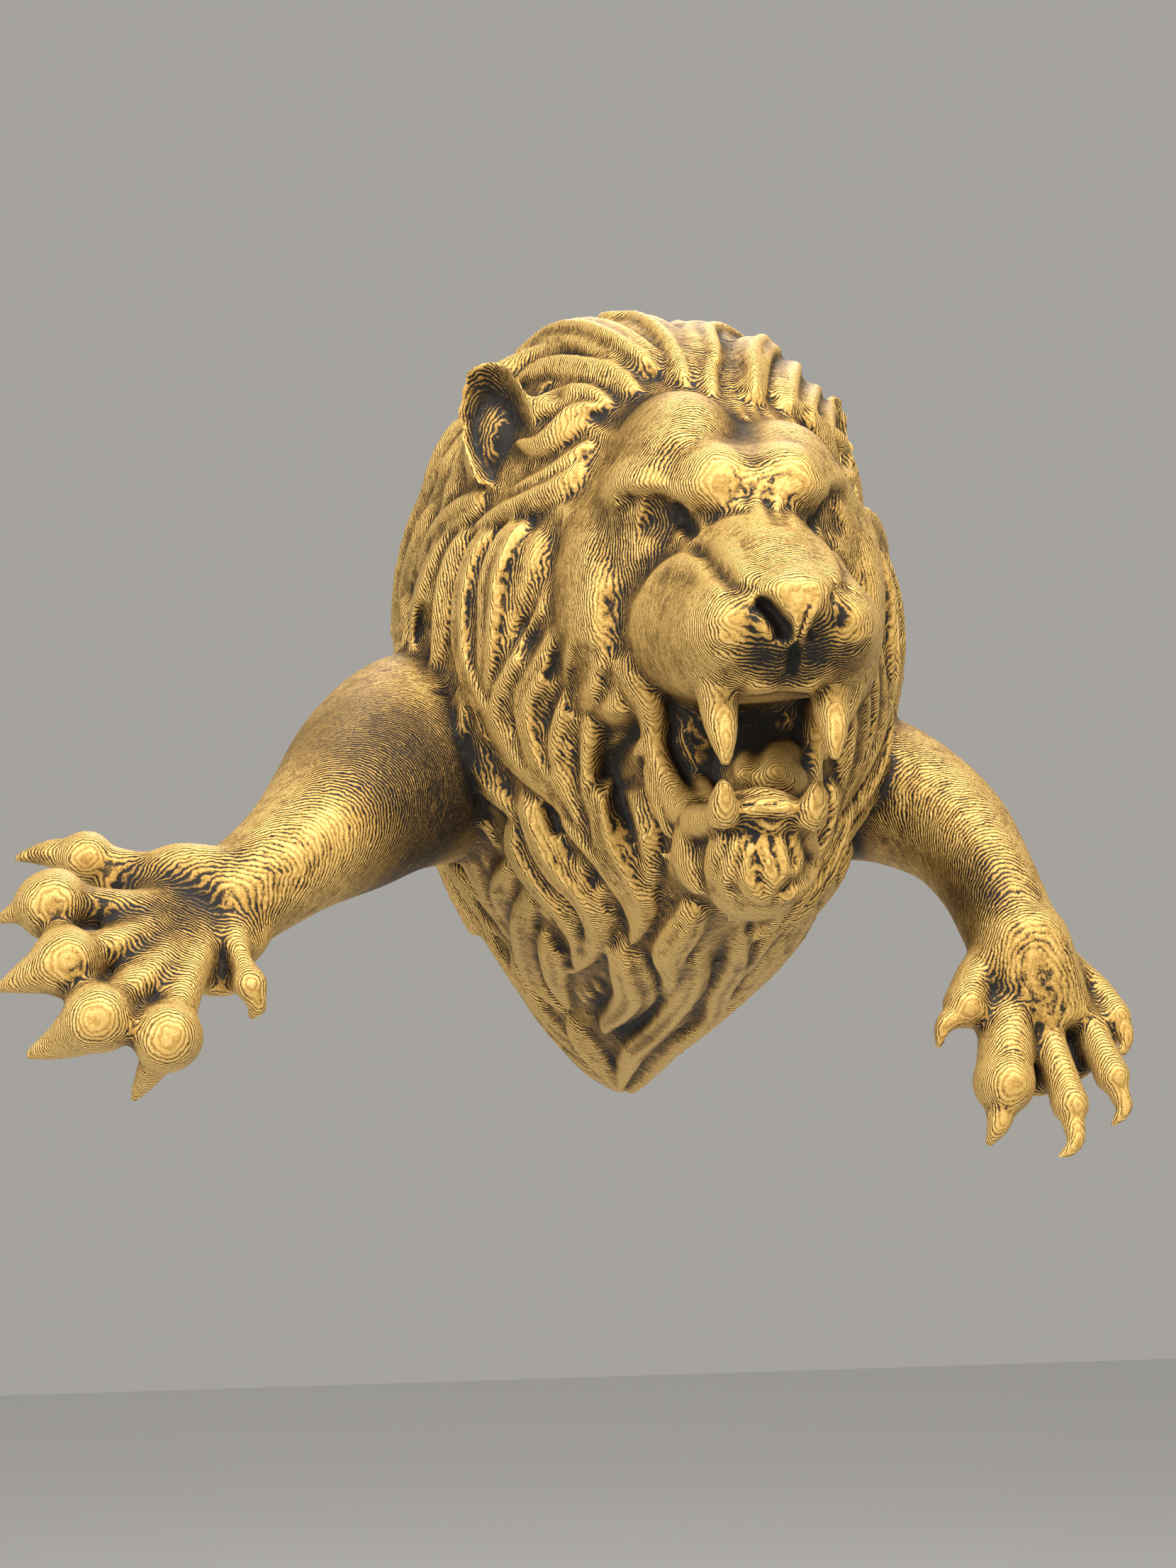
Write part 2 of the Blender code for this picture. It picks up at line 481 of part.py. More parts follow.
class Clay:
    # a heap of closed surfaces fused into one skin of quads, held as arrays
    def __init__(self, heap):
        rough = new_object("rough", np.concatenate(heap.points), heap.faces)
        fuse = rough.modifiers.new("fuse", "REMESH")
        fuse.mode = "VOXEL"
        fuse.voxel_size = grain * unit
        bpy.context.view_layer.update()
        shown = rough.evaluated_get(bpy.context.evaluated_depsgraph_get())
        mesh = shown.to_mesh()
        points = np.empty(3 * len(mesh.vertices), np.float32)
        mesh.vertices.foreach_get("co", points)
        corners = np.empty(4 * len(mesh.polygons), np.int32)
        mesh.polygons.foreach_get("vertices", corners)
        shown.to_mesh_clear()
        bpy.data.objects.remove(rough)
        self.points = points.reshape(-1, 3).astype(float) / unit
        self.quads = corners.reshape(-1, 4)
        self.keep_outer_skin()
        edges = np.concatenate([self.quads[:, [k, (k + 1) % 4]] for k in range(4)])
        self.edges = np.unique(np.sort(edges, axis=1), axis=0)
        self.degree = np.bincount(self.edges.ravel(), minlength=len(self.points))[:, None]

    def keep_outer_skin(self):
        # small hollows that the forms shut between them come out as skins of their own
        label = np.arange(len(self.points))
        while True:
            low = label[self.quads].min(1)
            new = label.copy()
            for k in range(4):
                np.minimum.at(new, self.quads[:, k], low)
            new = new[new]
            if (new == label).all():
                break
            label = new
        kept = label == np.bincount(label).argmax()
        self.quads = (np.cumsum(kept) - 1)[self.quads[kept[self.quads[:, 0]]]]
        self.points = self.points[kept]

    def neighbour_mean(self):
        i, j = self.edges.T
        total = np.zeros_like(self.points)
        for k in range(3):
            total[:, k] = np.bincount(i, self.points[j, k], len(total)) + np.bincount(j, self.points[i, k], len(total))
        return total / self.degree

    def smooth(self, times, share):
        for _ in range(times):
            self.points += 0.5 * share * (self.neighbour_mean() - self.points)

    def normals(self):
        a, b, c, d = (self.points[self.quads[:, k]] for k in range(4))
        across = np.cross(c - a, d - b)
        total = np.zeros_like(self.points)
        for corner in self.quads.T:
            for k in range(3):
                total[:, k] += np.bincount(corner, across[:, k], len(total))
        return unit_rows(total)

    def press(self, knots, width, depth, way=None):
        # presses a groove along a path, fading to its edges and ends
        path = curve(knots, 16)
        found = np.where(((self.points > path.min(0) - width) & (self.points < path.max(0) + width)).all(1))[0]
        gap = np.linalg.norm(self.points[found, None] - path[None], axis=-1)
        near = gap.min(1)
        along = gap.argmin(1) / (len(path) - 1)
        found, near, along = found[near < width], near[near < width], along[near < width]
        fade = np.sqrt(np.clip(np.minimum(along, 1 - along) * 4 + 0.2, 0, 1))
        way = self.normals()[found] if way is None else np.asarray(way, float)
        self.points[found] -= way * (depth * (1 - (near / width)**2)**2 * fade)[:, None]


def masses():
    heap = Heap()
    plain_mantle(heap)
    head_masses(heap)
    leg_masses(heap)
    return heap


def carving(heap):
    combed_mantle(heap)
    led_locks(heap)
    for side in (-1, 1):
        brows_and_lips(heap, side)
        teeth(heap, side)
        jaw_side(heap, side)
    mouth(heap)
    beard(heap)
    ears(heap)
    paws(heap)


def grooves(clay):
    def half(side):
        def head(*places):
            return [on_head(x * side, out, z) for x, out, z in places]

        clay.press(head((13, 124, 34.5), (17, 121, 35.4), (22, 117, 36.4), (28, 111, 36.6)), 4.6, 4.0)
        clay.press(head((13, 124, 31.5), (14, 122.5, 33), (15.5, 121, 34.2)), 5.2, 5.0)
        clay.press(head((17, 124, 30), (24, 119, 25), (28, 111, 15), (28.5, 106, 3)), 6.0, 1.6)
        clay.press(head((10, 151, 13.5), (13.5, 146, 19), (15.5, 138, 24.5), (15, 131, 30)), 4.6, 1.5)
        clay.press(head((4.6, 157, 11.4), (5.4, 157, 8.6), (3.4, 156.5, 5.4)), 3.7, 5.0, (0, -1, 0))
        clay.press(head((3, 130, 45), (2.6, 134, 38), (2.6, 138, 31)), 2.6, 1.8)

    both_sides(half)
    clay.press([on_head(0, 127, 50), on_head(0, 124, 57), on_head(0, 117, 64)], 6, 3.0)
    clay.press([on_head(0, 158, 8), on_head(0, 156, 4), on_head(0, 152, -1)], 2.4, 2.0)
    deep = np.hypot((clay.points[:, 0] - 2.5) / 19, (clay.points[:, 2] + 16) / 11.5)
    throat = (deep < 1) & (clay.points[:, 1] < -84) & (clay.points[:, 1] > -116)
    clay.points[throat, 1] += 22 * (1 - deep[throat]**4)


def gilded_print():
    paint = bpy.data.materials.new("gilded_print")
    paint.use_nodes = True
    shader = paint.node_tree.nodes["Principled BSDF"]
    shader.inputs["Base Color"].default_value = (0.42, 0.27, 0.09, 1)
    shader.inputs["Roughness"].default_value = 0.55
    shader.inputs["Metallic"].default_value = 0.25
    return paint


def flat_back(lion):
    # everything behind the wall is cut away
    size = 300.0
    deep = 20.0
    corners = np.array([(x, y, z) for x in (-size, size) for y in (0, deep) for z in (-size, size)], float)
    faces = np.array([(0, 1, 3, 2), (4, 6, 7, 5), (0, 4, 5, 1), (2, 3, 7, 6), (0, 2, 6, 4), (1, 5, 7, 3)])
    cutter = new_object("wall_cutter", corners, [faces])
    cutter.hide_render = True
    cutter.display_type = "WIRE"
    cut = lion.modifiers.new("flat_back", "BOOLEAN")
    cut.object = cutter
    cut.operation = "DIFFERENCE"


def make_lion():
    blank = Clay(masses())
    wear = round(22 * (0.9 / grain)**2)
    blank.smooth(wear, np.clip((-blank.points[:, 1:2] - 2) / 18, 0, 1))
    heap = Heap()
    heap.add(blank.points, [blank.quads])
    carving(heap)
    clay = Clay(heap)
    clay.smooth(1, 1.0)
    grooves(clay)
    clay.smooth(1, 0.6)
    lion = new_object("lion", clay.points, [clay.quads])
    lion.data.materials.append(gilded_print())
    lion.data.shade_smooth()
    thin = lion.modifiers.new("facets", "DECIMATE")
    thin.ratio = triangle_goal / (2 * len(clay.quads))
    flat_back(lion)
    return lion


for old in list(bpy.data.objects):
    bpy.data.objects.remove(old)
make_lion()
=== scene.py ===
import math
import bmesh
import bpy
import numpy as np
from mathutils import Matrix, Vector
from mathutils.kdtree import KDTree


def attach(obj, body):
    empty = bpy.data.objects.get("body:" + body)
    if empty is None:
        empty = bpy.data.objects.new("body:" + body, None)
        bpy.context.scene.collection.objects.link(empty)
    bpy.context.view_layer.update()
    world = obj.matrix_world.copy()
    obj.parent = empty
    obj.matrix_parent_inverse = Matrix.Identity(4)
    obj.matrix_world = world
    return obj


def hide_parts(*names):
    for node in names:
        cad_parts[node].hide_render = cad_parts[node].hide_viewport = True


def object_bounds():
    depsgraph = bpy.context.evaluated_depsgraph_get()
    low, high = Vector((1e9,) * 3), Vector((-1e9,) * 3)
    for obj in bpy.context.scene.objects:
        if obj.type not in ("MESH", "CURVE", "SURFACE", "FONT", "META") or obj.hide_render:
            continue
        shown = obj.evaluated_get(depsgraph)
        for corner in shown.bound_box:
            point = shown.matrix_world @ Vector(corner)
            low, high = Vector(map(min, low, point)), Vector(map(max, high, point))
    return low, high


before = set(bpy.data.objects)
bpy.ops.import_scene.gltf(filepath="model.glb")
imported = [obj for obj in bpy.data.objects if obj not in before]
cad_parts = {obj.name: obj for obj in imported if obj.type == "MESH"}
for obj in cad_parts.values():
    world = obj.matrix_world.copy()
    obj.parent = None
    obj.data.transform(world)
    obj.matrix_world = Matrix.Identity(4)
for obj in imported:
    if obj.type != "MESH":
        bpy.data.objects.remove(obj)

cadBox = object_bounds()

# Every figure below is in shares of the lion's span: the solid is 256.6 of them wide.
# Places are (x, out, z), where out is how far a point stands out from the flat back.
sculpt = dict(
    span=256.6,
    grain=0.85,             # edge of the cubes that fuse the forms
    wear=36,                # rounds of smoothing that melt the large forms together
    pastBack=3.0,           # how far the raw body runs past the flat back before it is cut
    triangles=196000,
    sharp=70,               # degrees between two facets past which an edge is drawn sharp
    wearFrom=(2, 18),       # how far out the wear starts, and over what depth it grows to full
    # how far a place lies below its surroundings is taken at three reaches: (rounds of smoothing, weight)
    reaches=((8, 1.0), (32, 0.7), (110, 0.45)))
boxLow, boxHigh = [np.array(corner) for corner in cadBox]
unit = (boxHigh[0] - boxLow[0]) / sculpt["span"]


# Places

def at(x, out, z):
    return np.array([x, -out, z], float)


head = dict(x=2.3, lean=0.05, leanFrom=130, tilt=0.06, throatX=2.5)


def onHead(x, out, z):
    # x counts from the head's own middle line, which leans right in front of the cheeks and tips up
    lean = head["lean"] * max(out - head["leanFrom"], 0)
    return at(head["x"] + lean + x, out, z + head["tilt"] * x)


def onJaw(x, out, z):
    return at(head["throatX"] + x, out, z)


# Closed surfaces

class Heap:
    # closed surfaces gathered for one mesh
    def __init__(self):
        self.points = []
        self.faces = []
        self.count = 0

    def add(self, points, faces):
        self.points.append(points)
        self.faces.extend(part + self.count for part in faces)
        self.count += len(points)


def curve(knots, count):
    # Catmull-Rom: 0.5 (2b + (c-a)t + (2a-5b+4c-d)t^2 + (3b-a-3c+d)t^3) between knots b and c
    knots = np.asarray(knots, float)
    ends = np.vstack([2 * knots[0] - knots[1], knots, 2 * knots[-1] - knots[-2]])
    s = np.linspace(0, len(knots) - 1 - 1e-9, count)
    i = s.astype(int)
    t = (s - i)[:, None]
    a, b, c, d = ends[i], ends[i + 1], ends[i + 2], ends[i + 3]
    return 0.5 * (2*b + (c - a)*t + (2*a - 5*b + 4*c - d)*t**2 + (3*b - a - 3*c + d)*t**3)


def ringFaces(rings, sides, inward=False):
    # quads between neighbouring rings and a fan at each pole
    ring = np.arange(rings - 1)[:, None] * sides
    side = np.arange(sides)
    after = (side + 1) % sides
    quads = np.stack([ring + side, ring + after, ring + sides + after, ring + sides + side], -1)
    quads = quads.reshape(-1, 4)
    last = (rings - 1) * sides
    start = np.stack([np.full(sides, rings * sides), after, side], -1)
    end = np.stack([np.full(sides, rings * sides + 1), last + side, last + after], -1)
    faces = [quads, start, end]
    return [part[:, ::-1] for part in faces] if inward else faces


def unitRows(v):
    return v / (np.linalg.norm(v, axis=-1, keepdims=True) + 1e-12)


def allRound(count):
    # angles evenly spaced around a circle
    return np.linspace(0, 2 * np.pi, count, endpoint=False)


def oval(c, s, power):
    # how far out a superellipse |x|^n + |y|^n = 1 lies in the direction (c, s)
    return (np.abs(c)**power + np.abs(s)**power)**(-1 / power)


def treeOf(points):
    tree = KDTree(len(points))
    for i, point in enumerate(points):
        tree.insert(point, i)
    tree.balance()
    return tree


strandCut = 0.13            # depth of a strand's flute, as a share of the lock's half width


def carried(heap, path, wide, thick, up, sides, power=2.0, strands=0):
    # superellipse |x/w|^n + |y/t|^n = 1 carried along a path with its thick axis towards up;
    # strands are shallow flutes, cos(strands * angle), along its outer side
    along = unitRows(np.gradient(path, axis=0))
    across = unitRows(np.cross(along, np.broadcast_to(np.asarray(up, float), path.shape)))
    lift = np.cross(across, along)
    angle = allRound(sides)
    c, s = np.cos(angle), np.sin(angle)
    reach = oval(c, s, power)
    if strands:
        reach = reach * (1 - strandCut * (1 - np.cos(strands * angle)) * np.clip(2*s, 0, 1))
    rim = path[:, None] + (wide[:, None] * reach * c)[..., None] * across[:, None]
    rim = rim + (thick[:, None] * reach * s)[..., None] * lift[:, None]
    points = np.vstack([rim.reshape(-1, 3), path[0], path[-1]])
    heap.add(points, ringFaces(len(path), sides))


def limb(heap, knots, wide, thick=None, rings=40, sides=24, top=0.1, tail=0.1):
    # a round-ended limb through the knots; its half widths are spread evenly along it and close
    # as a quarter ellipse over the first and last share of its length
    path = curve(knots, rings)
    s = np.linspace(0, 1, rings)
    a = np.clip(s / top, 0, 1)
    b = np.clip((1 - s) / tail, 0, 1)
    ends = np.sqrt(1 - (1 - a)**2) * np.sqrt(1 - (1 - b)**2)

    def spread(values):
        return curve(np.asarray(values, float)[:, None], rings)[:, 0] * ends

    carried(heap, path, spread(wide), spread(thick or wide), (0, -1, 0), sides)


def blob(heap, centre, radii, turnY=0.0, turnZ=0.0, rows=20, sides=32):
    # ellipsoid (sin v cos u, sin v sin u, cos v) times its radii, turned about Y and then Z
    vLine = np.linspace(0, np.pi, rows + 2)[1:-1]
    v, u = np.meshgrid(vLine, allRound(sides), indexing="ij")
    ball = np.stack([np.sin(v) * np.cos(u), np.sin(v) * np.sin(u), np.cos(v)], -1).reshape(-1, 3)
    ball = np.vstack([ball, (0, 0, 1), (0, 0, -1)]) * radii
    ty, tz = np.radians(turnY), np.radians(turnZ)
    spinY = np.array([[np.cos(ty), 0, np.sin(ty)], [0, 1, 0], [-np.sin(ty), 0, np.cos(ty)]])
    spinZ = np.array([[np.cos(tz), -np.sin(tz), 0], [np.sin(tz), np.cos(tz), 0], [0, 0, 1]])
    heap.add(ball @ (spinZ @ spinY).T + centre, ringFaces(rows, sides, inward=True))


def loft(heap, stations, rings=60, sides=72):
    # sections of the head across its depth, pear shaped: the half width runs from low to high up the
    # section; each row is (out, half width high, half width low, top, bottom, squareness)
    out, high, low, top, bottom, power = curve(stations, rings).T[:, :, None]
    angle = allRound(sides)[None]
    c, s = np.cos(angle), np.sin(angle)
    reach = oval(c, s, power)
    rise = np.clip((reach * s + 0.15) / 1.05, 0, 1)
    rise = rise**2 * (3 - 2*rise)
    x = (low + (high - low) * rise) * reach * c
    z = (top + bottom) / 2 + (top - bottom) / 2 * reach * s
    y = out + 0 * x
    first, last = stations[0], stations[-1]
    x = np.append(x.ravel(), [0, 0])
    y = np.append(y.ravel(), [first[0], last[0]])
    z = np.append(z.ravel(), [(first[3] + first[4]) / 2, (last[3] + last[4]) / 2])
    middle = head["x"] + head["lean"] * np.clip(y - head["leanFrom"], 0, None)
    heap.add(np.stack([middle + x, -y, z + head["tilt"] * x], -1), ringFaces(rings, sides))


# The photograph's view: the camera stands low and left of the lion and looks up a little
view = dict(
    place=(-0.124583, -0.600, -0.064987),
    right=(0.98179, -0.18996, 0.0),
    forward=(0.18922, 0.97796, 0.08826),
    lens=54.0,
    sensor=36.0,            # its height
    frame=(1659, 2212))
viewRight, viewForward = unitRows(np.array(view["right"])), unitRows(np.array(view["forward"]))
viewUp = np.cross(viewRight, viewForward)
viewScale = view["lens"] / view["sensor"] * view["frame"][1]


def pixelOf(points):
    # the photograph's pixel of each point, and its distance along the view
    gap = points * unit - np.array(view["place"])
    far = gap @ viewForward
    wide, tall = view["frame"]
    u = wide/2 + viewScale * gap @ viewRight / far
    v = tall/2 - viewScale * gap @ viewUp / far
    return np.stack([u, v], -1), far


def fromPixel(u, v, out):
    # the place on the camera's ray through a pixel that stands this far out
    wide, tall = view["frame"]
    ray = viewForward + (u - wide/2) / viewScale * viewRight - (v - tall/2) / viewScale * viewUp
    start = np.array(view["place"]) / unit
    return start + ray * (-out - start[1]) / ray[1]


def mirrored(point, tilt=head["tilt"]):
    # the same place on the other side of the head's middle plane
    out = -point[1]
    side = point[0] - head["x"] - head["lean"] * max(out - head["leanFrom"], 0)
    return at(point[0] - 2*side, out, point[2] - 2*tilt*side)


# The mantle of hair behind the face
mane = dict(
    front=110.0,            # where the mantle ends and the face begins
    widest=14.0,            # height of its widest line
    turn=60.0,              # run from the crown to the temple, where the hair turns down
    pitch=10.0,             # mean width of a lock
    height=5.0,             # how far a lock stands proud
    wave=62.0,              # length of one wave along a lock
    sway=4.8,               # how far a wave swings
    strandDepth=0.55,
    count=26,               # locks that a side's pattern holds
    uneven=0.28,            # how much their widths differ
    length=(52, 74),        # shortest and longest lock
    tall=(0.75, 1.15),      # lowest and highest, as shares of the height
    seed=11,                # of the locks' random widths, lengths and heights
    sunkBy=0.6,             # how far the valleys between the locks lie under the section
    underLocks=1.2,         # how far the combed hair lies back where locks are led over it
    flatter=0.55,           # and how much of its height it loses there
    beside=(8, 4),          # how far from a led lock that starts, and over what distance it grows
    fullest=55.0,           # how far out the section is at its fullest
    dome=(0.8, 0.55, 0.3),  # rings that close its front, as shares of the last section
    domeRise=3.0,
    poleRise=3.2,
    # its sections: how far out they stand, half width, top and lowest point
    out=np.array([-3.0, 0, 15, 35, 55, 75, 90, 102, 110]),
    half=np.array([56, 57, 59, 59.5, 57, 48.5, 39, 29, 18]),
    top=np.array([80, 82, 88, 93, 94, 87, 76, 63, 48]),
    low=np.array([-91, -91, -85, -76, -67, -60, -54, -46, -36]),
    crownX=np.array([0, 0, -2, -5, -8, -9, -5, 0, 2]),          # middle of the section at its crown
    girthX=np.array([0, 0, 0, 0, -1, -1, 0, 2, 2]),             # and at its widest line
    power=2.2,              # squareness of the section above its widest line
    tipPower=(1.42, 0.33),  # below it, at the back, and how much more in front
    fuller=0.4,             # more at the top right
    bowl=dict(place=at(43, 63, 64), reach=17.0, rim=6.0, depth=6.5))   # hollow in which the right ear stands


def station(out, values):
    # cubic Hermite between the mantle's sections
    places = mane["out"]
    slope = np.gradient(values, places)
    i = np.clip(np.searchsorted(places, out) - 1, 0, len(places) - 2)
    h = places[i + 1] - places[i]
    t = np.clip((out - places[i]) / h, 0, 1)
    start = (2*t**3 - 3*t**2 + 1) * values[i] + (t**3 - 2*t**2 + t) * h * slope[i]
    return start + (3*t**2 - 2*t**3) * values[i + 1] + (t**3 - t**2) * h * slope[i + 1]


def mantle(angle, out):
    # superellipse |x/w|^n + |z/h|^n = 1 with one power above its widest line, fuller on its right, and a
    # lower one below, down to a point
    angle, out = np.broadcast_arrays(np.asarray(angle, float), np.asarray(out, float))
    c, s = np.cos(angle), np.sin(angle)
    back, more = mane["tipPower"]
    pointed = back + more * np.clip(out / 60, 0, 1)
    blend = np.clip((s + 0.25) / 0.5, 0, 1)
    fuller = mane["fuller"] * np.clip(3*c, 0, 1) * np.clip((s - 0.5) / 0.2, 0, 1)
    power = pointed + (mane["power"] + fuller - pointed) * blend**2 * (3 - 2*blend)
    widest = mane["widest"]
    rise = np.where(s > 0, station(out, mane["top"]) - widest, widest - station(out, mane["low"]))
    reach = oval(c, s, power)
    up = np.clip(reach * s, 0, 1)**2
    middle = station(out, mane["girthX"]) * (1 - up) + station(out, mane["crownX"]) * up
    return np.stack([middle + station(out, mane["half"]) * reach * c, -out, widest + rise * reach * s], -1)


def mantleNormal(angle, out):
    du = mantle(angle + 0.01, out) - mantle(angle - 0.01, out)
    dv = mantle(angle, out + 0.5) - mantle(angle, out - 0.5)
    normal = unitRows(np.cross(dv, du))
    outward = mantle(angle, out) - at(0, 0, mane["widest"])
    outward[..., 1] = -8
    return normal * np.sign((normal * outward).sum(-1, keepdims=True))


def sunk(points):
    # how far the hair sinks around the right ear
    bowl = mane["bowl"]
    gap = np.linalg.norm(points - bowl["place"], axis=-1)
    return bowl["depth"] * np.clip((bowl["reach"] - gap) / bowl["rim"], 0, 1)


def shell(heap, rings):
    # rings of the mantle closed by a shallow dome in front and a flat end behind
    front = rings[-1]
    middle = front.mean(0)
    dome = []
    for share in mane["dome"]:
        ring = middle + (front - middle) * share
        ring[:, 1] -= mane["domeRise"] * np.sqrt(1 - share**2)
        dome.append(ring)
    poles = [rings[0].mean(0)[None], (middle + at(0, mane["poleRise"], 0))[None]]
    heap.add(np.concatenate([*rings, *dome, *poles]), ringFaces(len(rings) + len(dome), len(front)))


def lockField(runDown, out, halfRound, side):
    # the combed hair's height over (run down from the crown, out). Over the crown the locks circle
    # the temple, down the sides they follow the section, and below they are drawn back to the tip.
    rng = np.random.default_rng(mane["seed"] + side)
    count = mane["count"]
    dx = runDown - mane["turn"]
    dy = out - mane["front"] + 2
    circle = np.hypot(dx, dy)
    above = runDown < mane["turn"]
    low = np.clip(2 * runDown / halfRound - 1, 0, 1)
    squeeze = 1 - 0.62 * low**1.6
    across = np.where(above, circle, mane["front"] - 2 - out / squeeze)
    along = np.where(above, mane["turn"] - circle * np.arctan2(-dx, -dy), runDown)
    across = across + mane["sway"] * np.sin(2*np.pi * along / mane["wave"] + 0.045*across + 0.6*side)
    across = across + 0.35 * mane["sway"] * np.sin(4*np.pi * along / mane["wave"] + 0.11*across)
    steps = 1 + rng.uniform(-mane["uneven"], mane["uneven"], count)
    edges = np.concatenate([[0], np.cumsum(steps)]) * mane["pitch"] - 60
    i = np.clip(np.searchsorted(edges, across) - 1, 0, count - 1)
    share = np.clip((across - edges[i]) / (edges[i + 1] - edges[i]), 0, 1)
    length = rng.uniform(*mane["length"], count)[i]
    done = np.mod((along - rng.uniform(0, 70, count)[i]) / length, 1)
    swell = np.where(done < 0.35, np.sin(0.5*np.pi * (0.35 + 1.86*done)), np.cos(1.98 * (done - 0.35))**0.8)
    wide = 0.62 + 0.38 * np.clip(1.3 * swell, 0, 1)
    ridge = (1 - np.clip(np.abs(2*share - 1) / wide, 0, 1)**1.7)**0.9
    height = mane["height"] * (0.30 + 0.70*swell) * ridge * rng.uniform(*mane["tall"], count)[i]
    strand = np.abs(np.sin(np.pi * (3*share + 0.15 * np.sin(along / 9 + i))))
    height = height - mane["strandDepth"] * (1 - strand) * ridge
    return height * np.clip(1.15 * squeeze, 0.3, 1)


def sectionRun():
    # length down the section from the crown against its angle, at its fullest
    turn = np.linspace(np.pi / 2, 2.5 * np.pi, 721)
    line = mantle(turn, mane["fullest"])
    run = np.concatenate([[0], np.cumsum(np.linalg.norm(np.diff(line, axis=0), axis=1))])
    return turn, run


def combedMantle(heap, paths, sides=470, rows=120):
    # mantle(angle, out) + normal * lock height, its columns evenly spaced around the section. Beside a led
    # lock the combed hair lies back
    turn, run = sectionRun()
    halfRound = run[-1] / 2
    place = np.linspace(0, run[-1], sides, endpoint=False)
    angle = np.interp(place, run, turn)
    runDown = np.minimum(place, run[-1] - place)
    right = place > halfRound
    tree = treeOf(np.concatenate([mantle(*curve(places, 30).T) for places, *_ in paths]))
    start, grow = mane["beside"]
    rings = []
    for out in np.linspace(-sculpt["pastBack"], mane["front"], rows):
        height = np.where(right, lockField(runDown, out, halfRound, 1), lockField(runDown, out, halfRound, 0))
        height = (height - mane["sunkBy"]) * np.clip((mane["front"] + 2 - out) / 8, 0, 1)
        nearTip = runDown > 0.75 * halfRound
        height = np.where(nearTip, height * np.clip(0.25 + out / 26, 0, 1), height)
        points = mantle(angle, out)
        gap = np.array([tree.find(point)[2] for point in points])
        near = np.clip((start - gap) / grow, 0, 1)
        height = height * (1 - mane["flatter"] * near) - mane["underLocks"] * near - sunk(points)
        rings.append(points + mantleNormal(angle, out) * height[:, None])
    shell(heap, rings)


def plainMantle(heap, sides=120, rows=60):
    angle = allRound(sides)
    rings = []
    for out in np.linspace(-sculpt["pastBack"], mane["front"], rows):
        points = mantle(angle, out)
        rings.append(points - mantleNormal(angle, out) * sunk(points)[:, None])
    shell(heap, rings)


